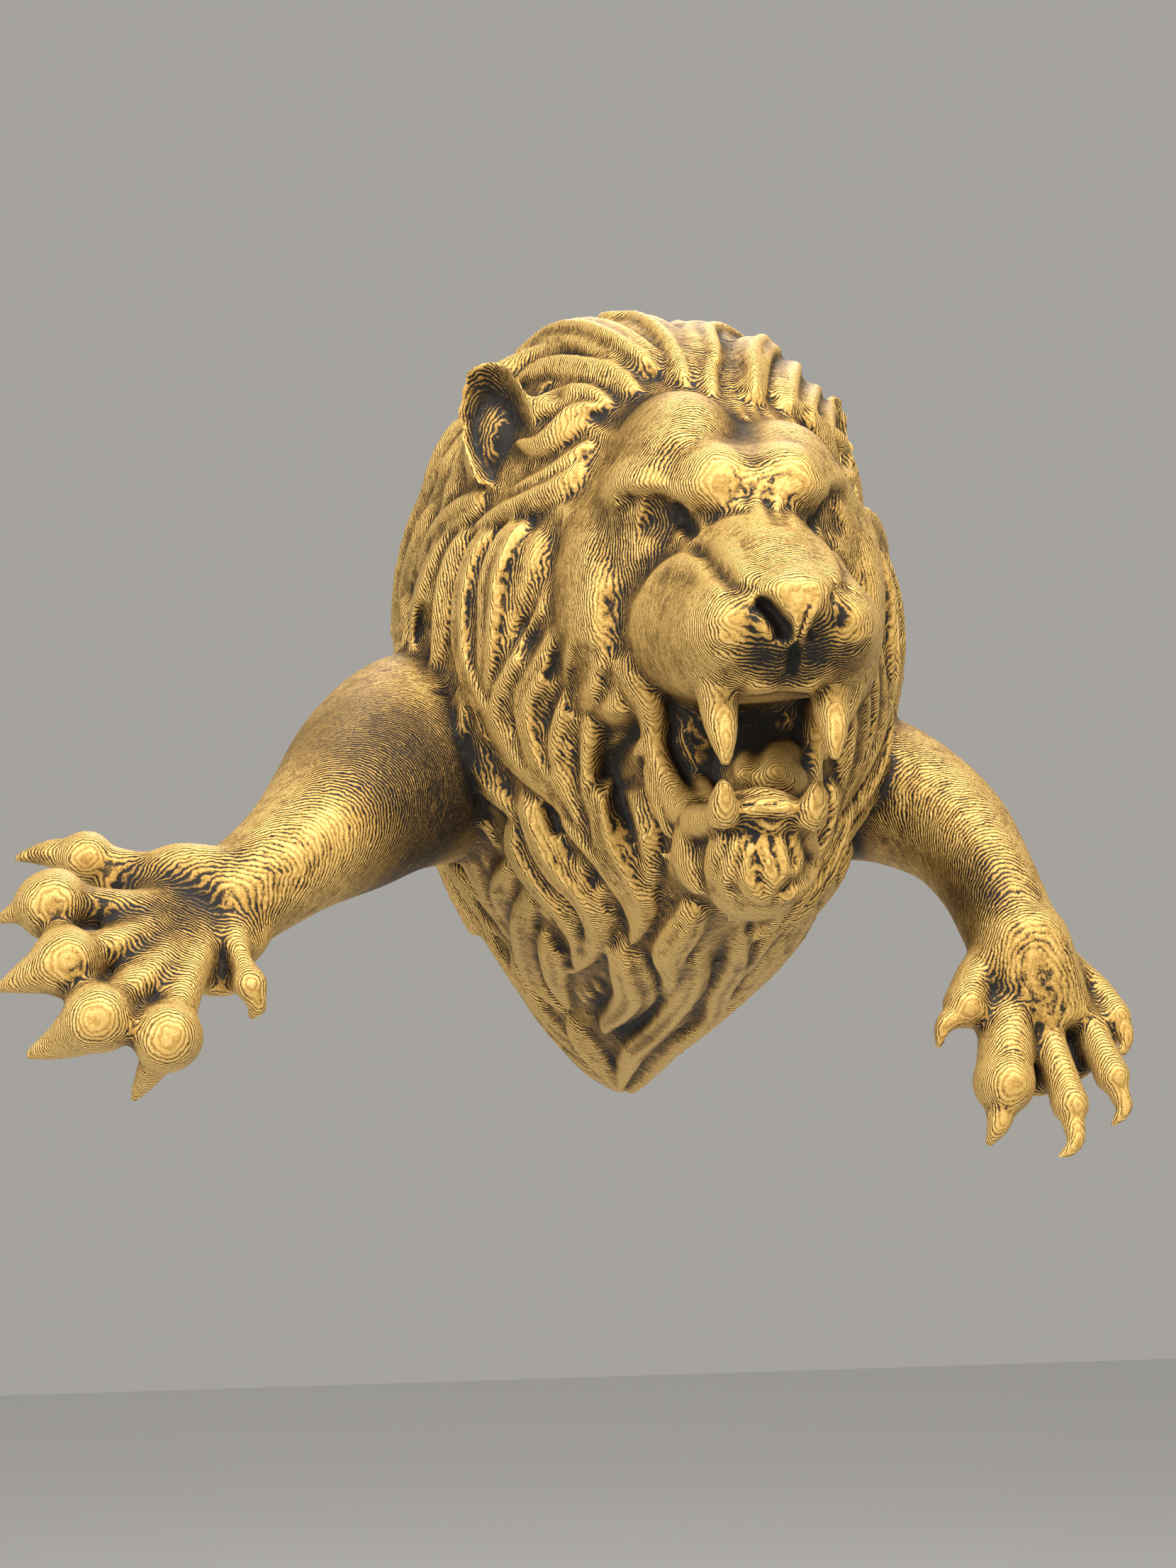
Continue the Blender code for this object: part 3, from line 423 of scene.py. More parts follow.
# Locks led over the combed hair. Each is drawn on the photograph, from root to tip, and laid on the
# # mantle where the camera sees it: its pixels and its half width
locks = dict(
    side=dict(
        templeFront=([(744, 734), (727, 779), (713, 828), (710, 868), (705, 929), (698, 972),
                      (705, 1018)], 6.6),
        templeBack=([(706, 733), (682, 775), (668, 828), (665, 881), (669, 929), (690, 988), (706, 1036),
                     (728, 1070), (764, 1107), (795, 1142)], 4.9),
        templeEdge=([(768, 745), (763, 790), (752, 830), (736, 866), (718, 905)], 3.6),
        cheekOne=([(790, 790), (775, 860), (754, 908), (733, 948), (714, 990), (712, 1028), (731, 1062),
                   (758, 1091), (784, 1123), (805, 1160)], 4.2),
        cheekTwo=([(806, 830), (798, 885), (786, 921), (768, 956), (753, 994), (755, 1032), (768, 1075),
                   (788, 1104), (808, 1132), (825, 1165)], 4.6),
        cheekThree=([(828, 850), (832, 900), (834, 932), (822, 970), (804, 1007), (794, 1045), (798, 1085),
                     (810, 1125), (836, 1180), (862, 1222)], 4.2),
        cheekFour=([(848, 890), (859, 943), (856, 983), (838, 1023), (833, 1075), (834, 1115), (846, 1165),
                    (868, 1215)], 3.2),
        cheekFive=([(863, 1088), (857, 1129), (863, 1171), (879, 1212), (898, 1246), (907, 1275), (902, 1305),
                    (892, 1330)], 4.6),
        underJaw=([(887, 1107), (906, 1150), (916, 1188), (921, 1230), (916, 1262)], 2.8),
        longOne=([(793, 1150), (823, 1177), (852, 1209), (873, 1241), (889, 1273), (895, 1306)], 3.6),
        longTwo=([(734, 1113), (753, 1150), (774, 1193), (797, 1228), (823, 1254), (839, 1284), (844, 1316),
                  (831, 1348), (808, 1372)], 4.8),
        longThree=([(730, 1148), (733, 1188), (753, 1222), (780, 1258), (804, 1292), (817, 1328),
                    (812, 1364)], 4.7),
        outerOne=([(652, 962), (643, 1010), (640, 1050), (649, 1096), (667, 1134), (691, 1165),
                   (705, 1196)], 3.5),
        outerTwo=([(664, 945), (664, 1002), (668, 1042), (680, 1075), (698, 1107), (720, 1135),
                   (736, 1160)], 4.9),
        backOne=([(606, 648), (586, 720), (568, 790), (557, 844), (547, 895), (541, 950)], 5.0),
        backTwo=([(622, 700), (599, 769), (581, 814), (576, 854), (582, 897)], 4.0),
        backThree=([(654, 722), (628, 779), (610, 828), (602, 868), (598, 908), (591, 948), (594, 1002),
                    (606, 1040)], 4.6),
        backFour=([(670, 740), (648, 779), (634, 828), (628, 868), (625, 900), (618, 945), (612, 985)], 3.5),
        backFive=([(552, 925), (553, 975), (564, 1010), (584, 1042)], 3.2),
        lowOne=([(722, 1216), (709, 1246), (710, 1273), (722, 1302)], 3.6),
        lowTwo=([(748, 1250), (738, 1289), (742, 1332), (753, 1370), (774, 1398), (804, 1430)], 4.2),
        lowThree=([(772, 1310), (780, 1352), (788, 1386), (806, 1424)], 3.8),
        lowFour=([(640, 1120), (655, 1166), (667, 1204), (675, 1230), (690, 1264), (708, 1298)], 3.6),
        lowFive=([(606, 1100), (619, 1150), (630, 1188), (651, 1230), (680, 1280), (712, 1324)], 3.8)),
    chest=dict(
        middle=([(874, 1320), (886, 1358), (893, 1391), (881, 1415), (861, 1436), (853, 1456)], 5.6),
        rightOne=([(984, 1262), (960, 1309), (942, 1340), (947, 1372), (936, 1402)], 4.6),
        rightTwo=([(990, 1336), (972, 1384), (950, 1412), (922, 1446), (895, 1474), (882, 1508),
                   (876, 1538)], 5.0),
        rightThree=([(1046, 1300), (1036, 1350), (1015, 1388), (1000, 1429), (955, 1466), (915, 1512),
                     (884, 1544)], 4.6),
        rightFour=([(1090, 1292), (1064, 1329), (1036, 1371), (1020, 1419)], 4.2),
        rightEdge=([(1170, 1250), (1140, 1300), (1112, 1334), (1086, 1376), (1056, 1408), (1010, 1450),
                    (960, 1492)], 5.0),
        rightOuter=([(1200, 1180), (1176, 1240), (1140, 1280), (1096, 1330)], 4.4),
        leftKnob=([(806, 1432), (818, 1456), (838, 1484), (856, 1510), (872, 1536)], 4.0)),
    temple=dict(
        overEar=([(937, 534), (890, 504), (838, 480), (785, 478), (746, 497), (705, 530)], 6.6),
        hollowOver=([(907, 560), (872, 536), (838, 525), (785, 517), (748, 529), (726, 546)], 3.8),
        hollowUnder=([(868, 577), (830, 559), (794, 562), (760, 575), (735, 566), (726, 548)], 3.8),
        tuft=([(858, 584), (816, 590), (790, 612), (759, 630), (727, 625)], 4.3),
        templeOne=([(838, 625), (803, 655), (764, 677), (725, 692)], 3.0),
        templeTwo=([(829, 655), (794, 686), (751, 707), (703, 727), (668, 751)], 3.4),
        behindOne=([(652, 580), (616, 640), (592, 699), (580, 752)], 5.0),
        behindTwo=([(690, 700), (650, 724), (616, 764), (592, 812)], 4.4)),
    crown=dict(
        crownOne=([(976, 556), (959, 517), (933, 484), (898, 460), (862, 456)], 6.4),
        crownTwo=([(1007, 573), (994, 525), (977, 484), (955, 460)], 4.6),
        crownThree=([(1033, 566), (1028, 517), (1015, 480), (996, 458)], 4.4),
        crownFour=([(1056, 562), (1050, 517), (1044, 490), (1026, 468)], 3.6)),
    crest=dict(
        crownFive=([(1064, 576), (1056, 540), (1064, 508), (1082, 490)], 5.8),
        crownSix=([(1108, 590), (1102, 562), (1106, 538), (1116, 524)], 4.8),
        crownSeven=([(1138, 612), (1130, 588), (1134, 566), (1144, 554)], 4.2),
        crownEight=([(1162, 634), (1156, 608), (1162, 584)], 3.8)),
    peak=0.32,              # share of its length where a lock is widest
    flatness=0.86,
    squareness=1.75,        # power of its section
    root=0.35,              # share of its half width at the root
    rootRound=0.08,         # share of its length over which the root is rounded
    rootRun=0.14,           # and over which it springs from under the hair
    thinnest=0.05,
    strands=(4, 6),         # on a narrow and on a broad one
    wideFrom=5,
    tipRise=1.4,            # how far its tip lifts off the mantle
    rootSink=0.5,           # how deep its root starts, in half widths
    tilt=0.22,              # how much its edge towards the face stands up
    # how much broader than drawn each group is, and how far it rises over the mantle, in half widths
    broad=dict(side=1.15, temple=1.06, chest=1.1, crown=1.0, crest=1.0),
    lift=dict(side=0.02, temple=0.02, chest=0.02, crown=0.0, crest=0.4),
    beyond=[(0, 12), (0, 24), (0, 36)])     # where the crown's locks run on, as steps of angle and out


def maneGrid():
    # places (angle, out) of the mantle that face the camera, and their pixels
    angle, out = np.meshgrid(allRound(1400), np.linspace(0, mane["front"], 280), indexing="ij")
    points = mantle(angle, out)
    facing = (mantleNormal(angle, out) * (np.array(view["place"]) / unit - points)).sum(-1) > 0
    return np.stack([angle[facing], out[facing]], -1), pixelOf(points[facing])[0]


def onMane(grid, knots):
    # where the camera's ray through each pixel meets the mantle, as angle and out, near the knot before
    places, pixels = grid
    solid = mantle(*places.T)
    found = []
    for knot in knots:
        miss = ((pixels - knot)**2).sum(1)
        if found:
            miss = miss + 0.25 * ((solid - solid[found[-1]])**2).sum(1)
        found.append(miss.argmin())
    found = places[found]
    found[:, 0] = np.unwrap(found[:, 0])
    return found


def ledLock(heap, places, halfWidth, side, raised, rings=60):
    # the half width is a sine up to the peak, then a cosine to the power 0.8 down to the point; the root is
    # round and springs from under the hair
    angle, out = curve(places, rings).T
    s = np.linspace(0, 1, rings)
    peak, root = locks["peak"], locks["root"]
    fall = np.clip(np.cos(0.5*np.pi * np.clip(s - peak, 0, None) / (1 - peak)), 0, 1)**0.8
    rise = np.sin(0.5*np.pi * (root + (1 - root) * s / peak))
    rise = rise * np.sqrt(1 - np.clip(1 - s / locks["rootRound"], 0, 1)**2)
    wide = halfWidth * np.clip(np.where(s < peak, rise, fall), locks["thinnest"], 1)
    normal = mantleNormal(angle, out)
    lift = raised * wide + locks["tipRise"] * s**3
    lift = lift - locks["rootSink"] * halfWidth * np.clip(1 - s / locks["rootRun"], 0, 1)**2
    path = mantle(angle, out) + normal * lift[:, None]
    across = unitRows(np.cross(np.gradient(path, axis=0), normal))
    up = normal + side * locks["tilt"] * across
    strands = locks["strands"][int(halfWidth > locks["wideFrom"])]
    carried(heap, path, wide, locks["flatness"] * wide, up, 40, locks["squareness"], strands)


def ledPaths():
    # the led locks as (places, half width, side, lift): those of the side and the temple are mirrored, and
    # those of the crown run on over it, out of the camera's sight
    grid = maneGrid()
    paths = []
    for group in ("side", "temple", "chest", "crown", "crest"):
        for knots, halfWidth in locks[group].values():
            halfWidth = halfWidth * locks["broad"][group]
            places = onMane(grid, knots)
            if group in ("crown", "crest"):
                beyond = [places[-1] - step for step in locks["beyond"]]
                places = np.vstack([places, np.maximum(beyond, (-9, 3))])
            paths.append((places, halfWidth, 1, locks["lift"][group]))
            if group in ("side", "temple"):
                flipped = np.stack([np.pi - places[:, 0], places[:, 1]], -1)
                paths.append((flipped, halfWidth, -1, locks["lift"][group]))
    return paths


# The head's large forms, which are fused and worn smooth before the carving is added. Sections of skull and
# muzzle as loft takes them; blobs as (place, radii, turns), of which those under pairs stand on both sides
face = dict(
    skull=[(70, 36, 36, 68, -10, 2.2), (90, 34.5, 34.5, 64, -6, 2.3), (104, 32, 32, 60, -2, 2.5),
           (113, 27, 27.5, 57, 4, 2.5), (120, 20, 21, 52, 12, 2.4), (125, 13, 14, 49, 20, 2.2),
           (127.5, 6, 6, 44, 28, 2)],
    muzzle=[(90, 19, 27, 34, -2, 2.3), (108, 18, 26.5, 38, -3, 2.4), (120, 16, 25.2, 40.5, -4, 2.5),
            (130, 13.5, 23, 37.5, -5, 2.6), (140, 12, 20, 31.5, -4.5, 2.6), (148, 11.2, 16.6, 25, -3, 2.6),
            (153, 9.0, 10.6, 20.2, 2, 2.3), (156.2, 6.8, 6.8, 18.6, 6.5, 2.2), (158.2, 3.6, 3.2, 15.4, 9.6, 2)],
    # forehead and brows as place on the head, radii and turns; the right side is lower and narrower
    brows=[((-10.5, 102, 52), (14.5, 19.5, 16), (0, 0)), ((10.5, 102, 48), (14.5, 19.5, 13), (0, 0)),
           ((-13, 110, 49), (12.5, 14.6, 12), (0, 0)), ((11.5, 110, 45.5), (11.5, 14, 11), (0, 0)),
           ((-17.5, 111.5, 44.5), (12.5, 13, 8.8), (-6, 20)), ((16.2, 111.5, 43.5), (10, 13, 8.2), (6, -20)),
           ((0, 117.5, 44), (10, 11, 8.4), (0, 0)), ((1.4, 122.5, 40), (7.5, 10, 7.5), (0, 0))],
    pairs=dict(
        browInner=((7.6, 120.5, 43), (10.4, 11.6, 9.4)),
        cheek=((28.5, 97, 20), (9, 17, 26)),
        noseWing=((5.2, 145.5, 14.0), (6.2, 7.8, 4.8))),
    lipPads=[((-10.6, 134, 8.2), (11.6, 21.5, 12.8)), ((11.6, 134, 8.0), (12.6, 21.5, 12.8))],
    jowl=[7, 5.5, 4.2],     # half widths
    chin=[((0.6, 123, -39.5), (10.6, 11.6, 10.2)), ((0, 112, -38), (15.5, 19, 7.5)),
          ((0, 124.5, -35), (11, 10.5, 7)), ((0.6, 125, -31), (11, 9.5, 6)), ((0.6, 117, -31), (16, 11, 6.5))],
    tongue=((1078, 1102, 113), (10, 12, 6)),
    mouthFloor=((0.5, 119, -29.5), (12.5, 15, 5)),
    underTufts=((0.6, 123, -39.5), (11, 12, 10.8)))


def headMasses(heap):
    loft(heap, face["skull"])
    loft(heap, face["muzzle"])
    for side in (-1, 1):
        for (x, out, z), radii in face["pairs"].values():
            blob(heap, onHead(x * side, out, z), radii)
        jowl = [onHead(29 * side, 101, 12), onHead(26 * side, 106, 2), onJaw(23 * side, 107, -8)]
        limb(heap, jowl, face["jowl"])
    for centre, radii in face["lipPads"]:
        blob(heap, onHead(*centre), radii)
    for centre, radii, turns in face["brows"]:
        blob(heap, onHead(*centre), radii, *turns)
    for centre, radii in face["chin"]:
        blob(heap, onJaw(*centre), radii)
    pixel, radii = face["tongue"]
    blob(heap, fromPixel(*pixel), radii)


# Carving of the face: limbs drawn on the photograph as pixels with how far out they stand, and their half
# widths. Those under standing are drawn on the left and mirrored, and those under middle aren't
lines = dict(
    standing=dict(
        web=([(876, 900, 108), (895, 948, 111.5), (914, 990, 112), (921, 1025, 110.5), (925, 1060, 110),
              (938, 1098, 111.5), (960, 1135, 115), (985, 1160, 121)], [5, 4.6, 3.5, 2.9, 2.9, 3.1, 3.8, 4.2]),
        webTip=([(918, 1070, 109), (926, 1106, 110), (936, 1142, 112), (942, 1168, 113), (945, 1186, 113.5)],
                [2.2, 2.6, 2.3, 1.6, 0.5]),
        spike=([(908, 1050, 109.5), (900, 1059, 108.5), (891, 1067, 107.5)], [1.8, 1.1, 0.4]),
        innerGum=([(952, 1020, 98), (964, 1060, 101), (984, 1104, 110), (1004, 1142, 121)],
                  [2.2, 2.4, 2.6, 2.8]),
        jaw=([(972, 1160, 119), (998, 1158, 127), (1020, 1157, 131.5), (1050, 1160, 134), (1084, 1163, 135),
              (1104, 1163, 134)], [4.2, 3.6, 3.0, 2.3, 2.0, 1.8]),
        flap=([(985, 1168, 119.5), (977, 1200, 118.5), (979, 1232, 119.5), (988, 1264, 121.5)],
              [4.8, 4.6, 3.6, 1.0]),
        gum=([(1036, 972, 141.5), (1062, 965, 144.5), (1096, 960, 146), (1130, 962, 146.5), (1150, 966, 146)],
             [2.2, 2.2, 2.2, 2.2, 2.2]),
        upperTooth=([(1012, 968, 140.5), (1014, 1000, 141.5), (1020, 1042, 143.5), (1025, 1082, 145)],
                    [4.1, 4.0, 2.9, 0.9]),
        lowerTooth=([(1019, 1160, 134), (1019, 1142, 136), (1020, 1118, 137.5), (1021, 1096, 138.5)],
                    [3.7, 3.4, 2.4, 0.9])),
    middle=dict(
        lipFold=([(1018, 1134, 129), (1045, 1122, 133), (1082, 1119, 134.5), (1112, 1128, 133.5),
                  (1132, 1142, 129)], [1.2, 1.4, 1.4, 1.4, 1.2]),
        lipEdge=([(1004, 1156, 130), (1042, 1143, 135.5), (1082, 1138, 137), (1116, 1142, 136),
                  (1150, 1156, 131)], [1.6, 1.8, 1.8, 1.8, 1.6]),
        tongue=([(1108, 1066, 108), (1097, 1078, 115), (1092, 1090, 120.5), (1088, 1106, 123.5)],
                [4.4, 4.4, 4.0, 2.8]),
        tongueEdge=([(1060, 1070, 109), (1055, 1073, 113), (1049, 1084, 118.5), (1047, 1102, 122)],
                    [2.8, 2.5, 2.1, 1.7]),
        septum=([(1146, 838, 157), (1139, 862, 157.5), (1129, 890, 156.5), (1122, 915, 154.5)],
                [1.9, 1.5, 1.4, 1.3]),
        earTuft=([(1164, 604, 73), (1180, 622, 70), (1191, 633, 68), (1200, 637, 66)], [1.8, 2.5, 1.8, 0.6]),
        lowerTuft=([(1084, 1258, 127), (1093, 1284, 123), (1081, 1306, 120), (1060, 1330, 118)],
                   [2.8, 2.6, 2.0, 0.7]),
        hookTuft=([(1020, 1256, 123), (1032, 1275, 121.5), (1043, 1287, 120.5), (1025, 1300, 119.5)],
                  [2.2, 2.1, 1.6, 0.6]),
        spur=([(957, 1214, 116), (941, 1208, 115), (927, 1203, 114.5)], [1.3, 0.9, 0.4])))

# Tufts that fan over the chin and hook at their tips: pixels and half width
tufts = dict(
    one=([(1052, 1166), (1042, 1192), (1029, 1222), (1019, 1246), (1024, 1266)], 2.6),
    two=([(1062, 1168), (1056, 1200), (1054, 1234), (1062, 1258), (1078, 1278)], 2.3),
    three=([(1074, 1168), (1074, 1196), (1078, 1222), (1084, 1246), (1082, 1268)], 2.1),
    four=([(1086, 1166), (1092, 1188), (1098, 1210), (1101, 1232), (1097, 1252)], 2.0),
    five=([(1112, 1162), (1134, 1184), (1142, 1212), (1132, 1242), (1110, 1262), (1094, 1276)], 2.5),
    six=([(1100, 1164), (1115, 1186), (1122, 1212), (1114, 1240)], 2.0),
    seven=([(1040, 1166), (1018, 1192), (1004, 1222), (998, 1252)], 2.7))
chinMiddle = (0.6, 118, -38)
tuftRise = 0.5              # how far a tuft stands off the chin, and how far further its tip lifts
tuftHook = 2.2


def carveFace(heap):
    for name, (knots, widths) in lines["standing"].items():
        path = [fromPixel(*knot) for knot in knots]
        ends = dict(top=0.05, tail=0.03) if name.endswith("Tooth") else {}
        tilt = head["tilt"] if name in ("upperTooth", "gum") else 0
        limb(heap, path, widths, **ends)
        limb(heap, [mirrored(point, tilt) for point in path], widths, **ends)
    for knots, widths in lines["middle"].values():
        limb(heap, [fromPixel(*knot) for knot in knots], widths)
    for centre, radii in (face["mouthFloor"], face["underTufts"]):
        blob(heap, onJaw(*centre), radii)


def beard(heap, clay):
    # a tuft is widest a little before its middle, is fluted and stands away from the middle of the chin
    clay.look()
    for pixels, halfWidth in tufts.values():
        path = curve(clay.seen(pixels), 40)
        s = np.linspace(0, 1, 40)
        away = unitRows(path - onJaw(*chinMiddle))
        path += tuftRise * away
        path[:, 1] -= tuftHook * s**3
        wide = halfWidth * np.clip(np.sin(np.pi * (0.12 + 0.88*s)), 0.06, 1)**0.7
        carried(heap, path, wide, wide, away, 24, 1.8, 3)


# Ears: base, tip, the way the width runs and the way the cup opens, half width and depth; then the mound behind
# it as place, radii and turns
earForms = dict(
    thick=2.2,
    left=dict(
        leaf=((-43.5, 82, 50), (-47.5, 80, 79), (0.93, -0.36, 0.05), (-0.36, -0.93, 0.05), 8.8, 7.5),
        mound=((-44, 70, 62), (7, 8, 13), 8, 20)),
    right=dict(
        leaf=((44.3, 67, 53), (42, 61, 80), (0.50, 0.86, 0.05), (0.86, -0.50, 0.1), 8, 5),
        mound=((34, 53, 62), (6, 8, 12), -8, -20)))


def ear(heap, base, tip, out, facing, halfWidth, depth, rows=30, columns=22):
    # a cupped leaf, base + (tip - base) v + width(v) u out - depth (1 - u^2) facing, and its outer face
    out, facing = np.array(out), np.array(facing)
    u = np.linspace(-1, 1, columns)[None, :]
    v = np.linspace(0, 1, rows)[:, None]
    roundTop = np.sqrt(np.clip(1 - ((v - 0.45) / 0.55)**2, 0, 1))
    wide = halfWidth * np.where(v < 0.45, 0.72 + 0.28*np.sin(np.pi/2 * v / 0.45), roundTop)
    cup = depth * (1 - u**2) * np.sin(np.pi * (0.15 + 0.85*v))**0.7
    inner = base + (tip - base) * v[..., None] + (wide * u)[..., None] * out - cup[..., None] * facing
    outer = inner - earForms["thick"] * facing * (1 - 0.5 * np.abs(u[..., None])**3)
    rim = np.concatenate([inner, outer[:, ::-1]], 1)
    points = np.concatenate([rim.reshape(-1, 3), rim[0].mean(0)[None], rim[-1].mean(0)[None]])
    heap.add(points, ringFaces(rows, 2 * columns))


def ears(heap):
    for side in ("left", "right"):
        base, tip, *leaf = earForms[side]["leaf"]
        ear(heap, at(*base), at(*tip), *leaf)
        place, radii, turnY, turnZ = earForms[side]["mound"]
        blob(heap, at(*place), radii, turnY, turnZ)


# Forelegs as places, half widths and half thicknesses; then their mounds as place, radii and turns
legs = dict(
    left=([(-40, 30, -4), (-56, 44, -9), (-68, 60, -16), (-79, 77, -26), (-91, 90, -36), (-103, 98, -45),
           (-112, 102, -49)], [22, 26, 23, 18.5, 13.5, 11.5, 11], [22, 25, 22, 18, 13, 10, 8.5],
          [((-83, 84, -31), (8, 12, 8), 0, 0), ((-111, 101, -48), (17, 6.5, 14), 30, -10)]),
    right=([(32, 30, -6), (48, 38, -12), (60, 47, -17), (70, 58, -26), (75, 68, -38), (78, 75, -50),
            (81, 79, -60)], [20, 20, 17.5, 14.5, 12, 11.6, 11], [20, 19, 17, 14, 12, 10, 9], []))

# Paws. Their digits are drawn on the photograph: knuckle, toe, middle and tip of the claw, each as its pixel
# and how far out it stands; then the toe's and the claw's radius
paws = dict(
    leftWrist=(322, 1256, 99),
    left=dict(
        outer=((205, 1226, 98), (114, 1210, 96), (65, 1204, 94), (16, 1212, 92), 5.9, 2.8),
        second=((182, 1284, 109), (66, 1276, 111), (25, 1287, 110), (-8, 1301, 107), 7.4, 2.5),
        third=((188, 1326, 114), (86, 1360, 120), (40, 1378, 119), (-10, 1398, 117), 7.2, 3.7),
        fourth=((218, 1366, 117), (132, 1442, 126), (84, 1470, 121), (33, 1491, 118), 7.0, 3.7),
        inner=((264, 1384, 117), (235, 1470, 126), (206, 1522, 120), (185, 1555, 116), 7.0, 2.5),
        dew=((336, 1332, 111), (356, 1394, 116), (364, 1422, 116), (350, 1438, 115), 4.2, 1.8)),
    rightWrist=(1440, 1290, 71),
    right=dict(
        dew=((1376, 1370, 80), (1358, 1424, 85), (1330, 1448, 87), (1323, 1483, 87), 5.2, 2.1),
        inner=((1420, 1440, 84), (1416, 1536, 91), (1408, 1588, 93), (1391, 1619, 92), 7.0, 2.7),
        second=((1478, 1460, 85), (1511, 1563, 93), (1517, 1612, 96), (1488, 1642, 96), 4.5, 2.0),
        third=((1532, 1440, 82), (1571, 1522, 90), (1586, 1565, 92), (1566, 1590, 92), 4.3, 1.9),
        outer=((1548, 1390, 78), (1577, 1436, 83), (1589, 1466, 85), (1583, 1492, 86), 3.7, 1.9)),
    leftWebs=[(135, 1240, 99), (158, 1306, 108), (150, 1384, 114), (203, 1398, 115), (300, 1410, 111),
              (344, 1354, 108)],
    back=[(1436, 1288, 78), (1448, 1345, 81), (1462, 1400, 82), (1482, 1462, 83)],
    rightWebs=[(1396, 1470, 82), (1462, 1552, 84), (1520, 1530, 82), (1577, 1480, 80)],
    leftNeck=0.66,          # a digit's width behind its toe, as a share of the toe's
    rightNeck=0.94,
    leftRoot=3.2,           # half width of a digit's bone at the wrist
    rightRoot=4.0,
    webWide=[6, 6],
    webThick=[3.4, 2.6],
    backWide=[11, 12, 12.5, 10.5],          # the back of the right hand
    backThick=[8, 7.5, 6.8, 5.2],
    clawFrom=0.4,           # where a claw springs, as a share of the way from toe to middle
    clawRoot=1.45,          # its root as a share of its radius, and its point
    clawPoint=0.7,
    # a toe's drawn-out pad: places along it and half widths as shares of its radius, and its round ends
    pad=((-1.15, -0.3, 0.95), (0.7, 1.06, 0.8), 0.35),
    wear=0.3,               # how much of the forms' wear a paw gets
    # where a paw starts, and over what distance: left of an x; right of an x and below a z
    leftFrom=(-100, 16),
    rightFrom=(55, 5),
    rightBelow=(-56, 14))


def legMasses(heap):
    for knots, wide, thick, mounds in legs.values():
        limb(heap, [at(*knot) for knot in knots], wide, thick, 60, 40)
        for place, radii, turnY, turnZ in mounds:
            blob(heap, at(*place), radii, turnY, turnZ)
    limb(heap, [fromPixel(*place) for place in paws["back"]], paws["backWide"], paws["backThick"])


def digit(heap, wrist, knuckle, toe, radius, neck, root):
    # a bone from the wrist, which rises to the knuckle, and a toe drawn out along it
    along = unitRows(toe - knuckle) * radius
    limb(heap, [wrist, (wrist + knuckle) / 2, knuckle, (knuckle + 2*toe) / 3, toe],
         [root, 0.5 * root + 0.35 * neck * radius, 0.92 * neck * radius, neck * radius, 0.9 * radius])
    places, shares, end = paws["pad"]
    limb(heap, [toe + place * along for place in places], [share * radius for share in shares],
         top=end, tail=end)


def pawMasses(heap):
    for side in ("left", "right"):
        wrist = fromPixel(*paws[side + "Wrist"])
        for knuckle, toe, _, _, radius, _ in paws[side].values():
            digit(heap, wrist, fromPixel(*knuckle), fromPixel(*toe), radius, paws[side + "Neck"],
                  paws[side + "Root"])
        for place in paws[side + "Webs"]:
            limb(heap, [wrist, fromPixel(*place)], paws["webWide"], paws["webThick"])


def claws(heap):
    # a claw springs from within its toe and tapers through its middle to the tip
    for side in ("left", "right"):
        for _, *places, _, radius in paws[side].values():
            toe, middle, tip = [fromPixel(*place) for place in places]
            wide = [paws["clawRoot"] * radius, radius, paws["clawPoint"]]
            limb(heap, [toe + (middle - toe) * paws["clawFrom"], middle, tip], wide, rings=30, sides=18,
                 top=0.05, tail=0.03)


# Fusing and working the clay

def linked(name, data):
    thing = bpy.data.objects.new(name, data)
    bpy.context.scene.collection.objects.link(thing)
    return thing


def newObject(name, points, faces):
    loops = np.concatenate([part.ravel() for part in faces]).astype(np.int32)
    sizes = np.concatenate([np.full(len(part), part.shape[1]) for part in faces])
    starts = np.concatenate([[0], np.cumsum(sizes)[:-1]]).astype(np.int32)
    mesh = bpy.data.meshes.new(name)
    mesh.vertices.add(len(points))
    mesh.vertices.foreach_set("co", (points * unit).astype(np.float32).ravel())
    mesh.loops.add(len(loops))
    mesh.loops.foreach_set("vertex_index", loops)
    mesh.polygons.add(len(sizes))
    mesh.polygons.foreach_set("loop_start", starts)
    mesh.update(calc_edges=True)
    mesh.validate()
    return linked(name, mesh)


def meshPoints(mesh):
    points = np.empty(3 * len(mesh.vertices), np.float32)
    mesh.vertices.foreach_get("co", points)
    return points.reshape(-1, 3).astype(float) / unit


def worked(thing):
    # the mesh with its modifiers applied
    bpy.context.view_layer.update()
    return bpy.data.meshes.new_from_object(thing.evaluated_get(bpy.context.evaluated_depsgraph_get()))


depthWeight = 3000          # squared pixels that a metre of depth weighs, in finding what the camera sees


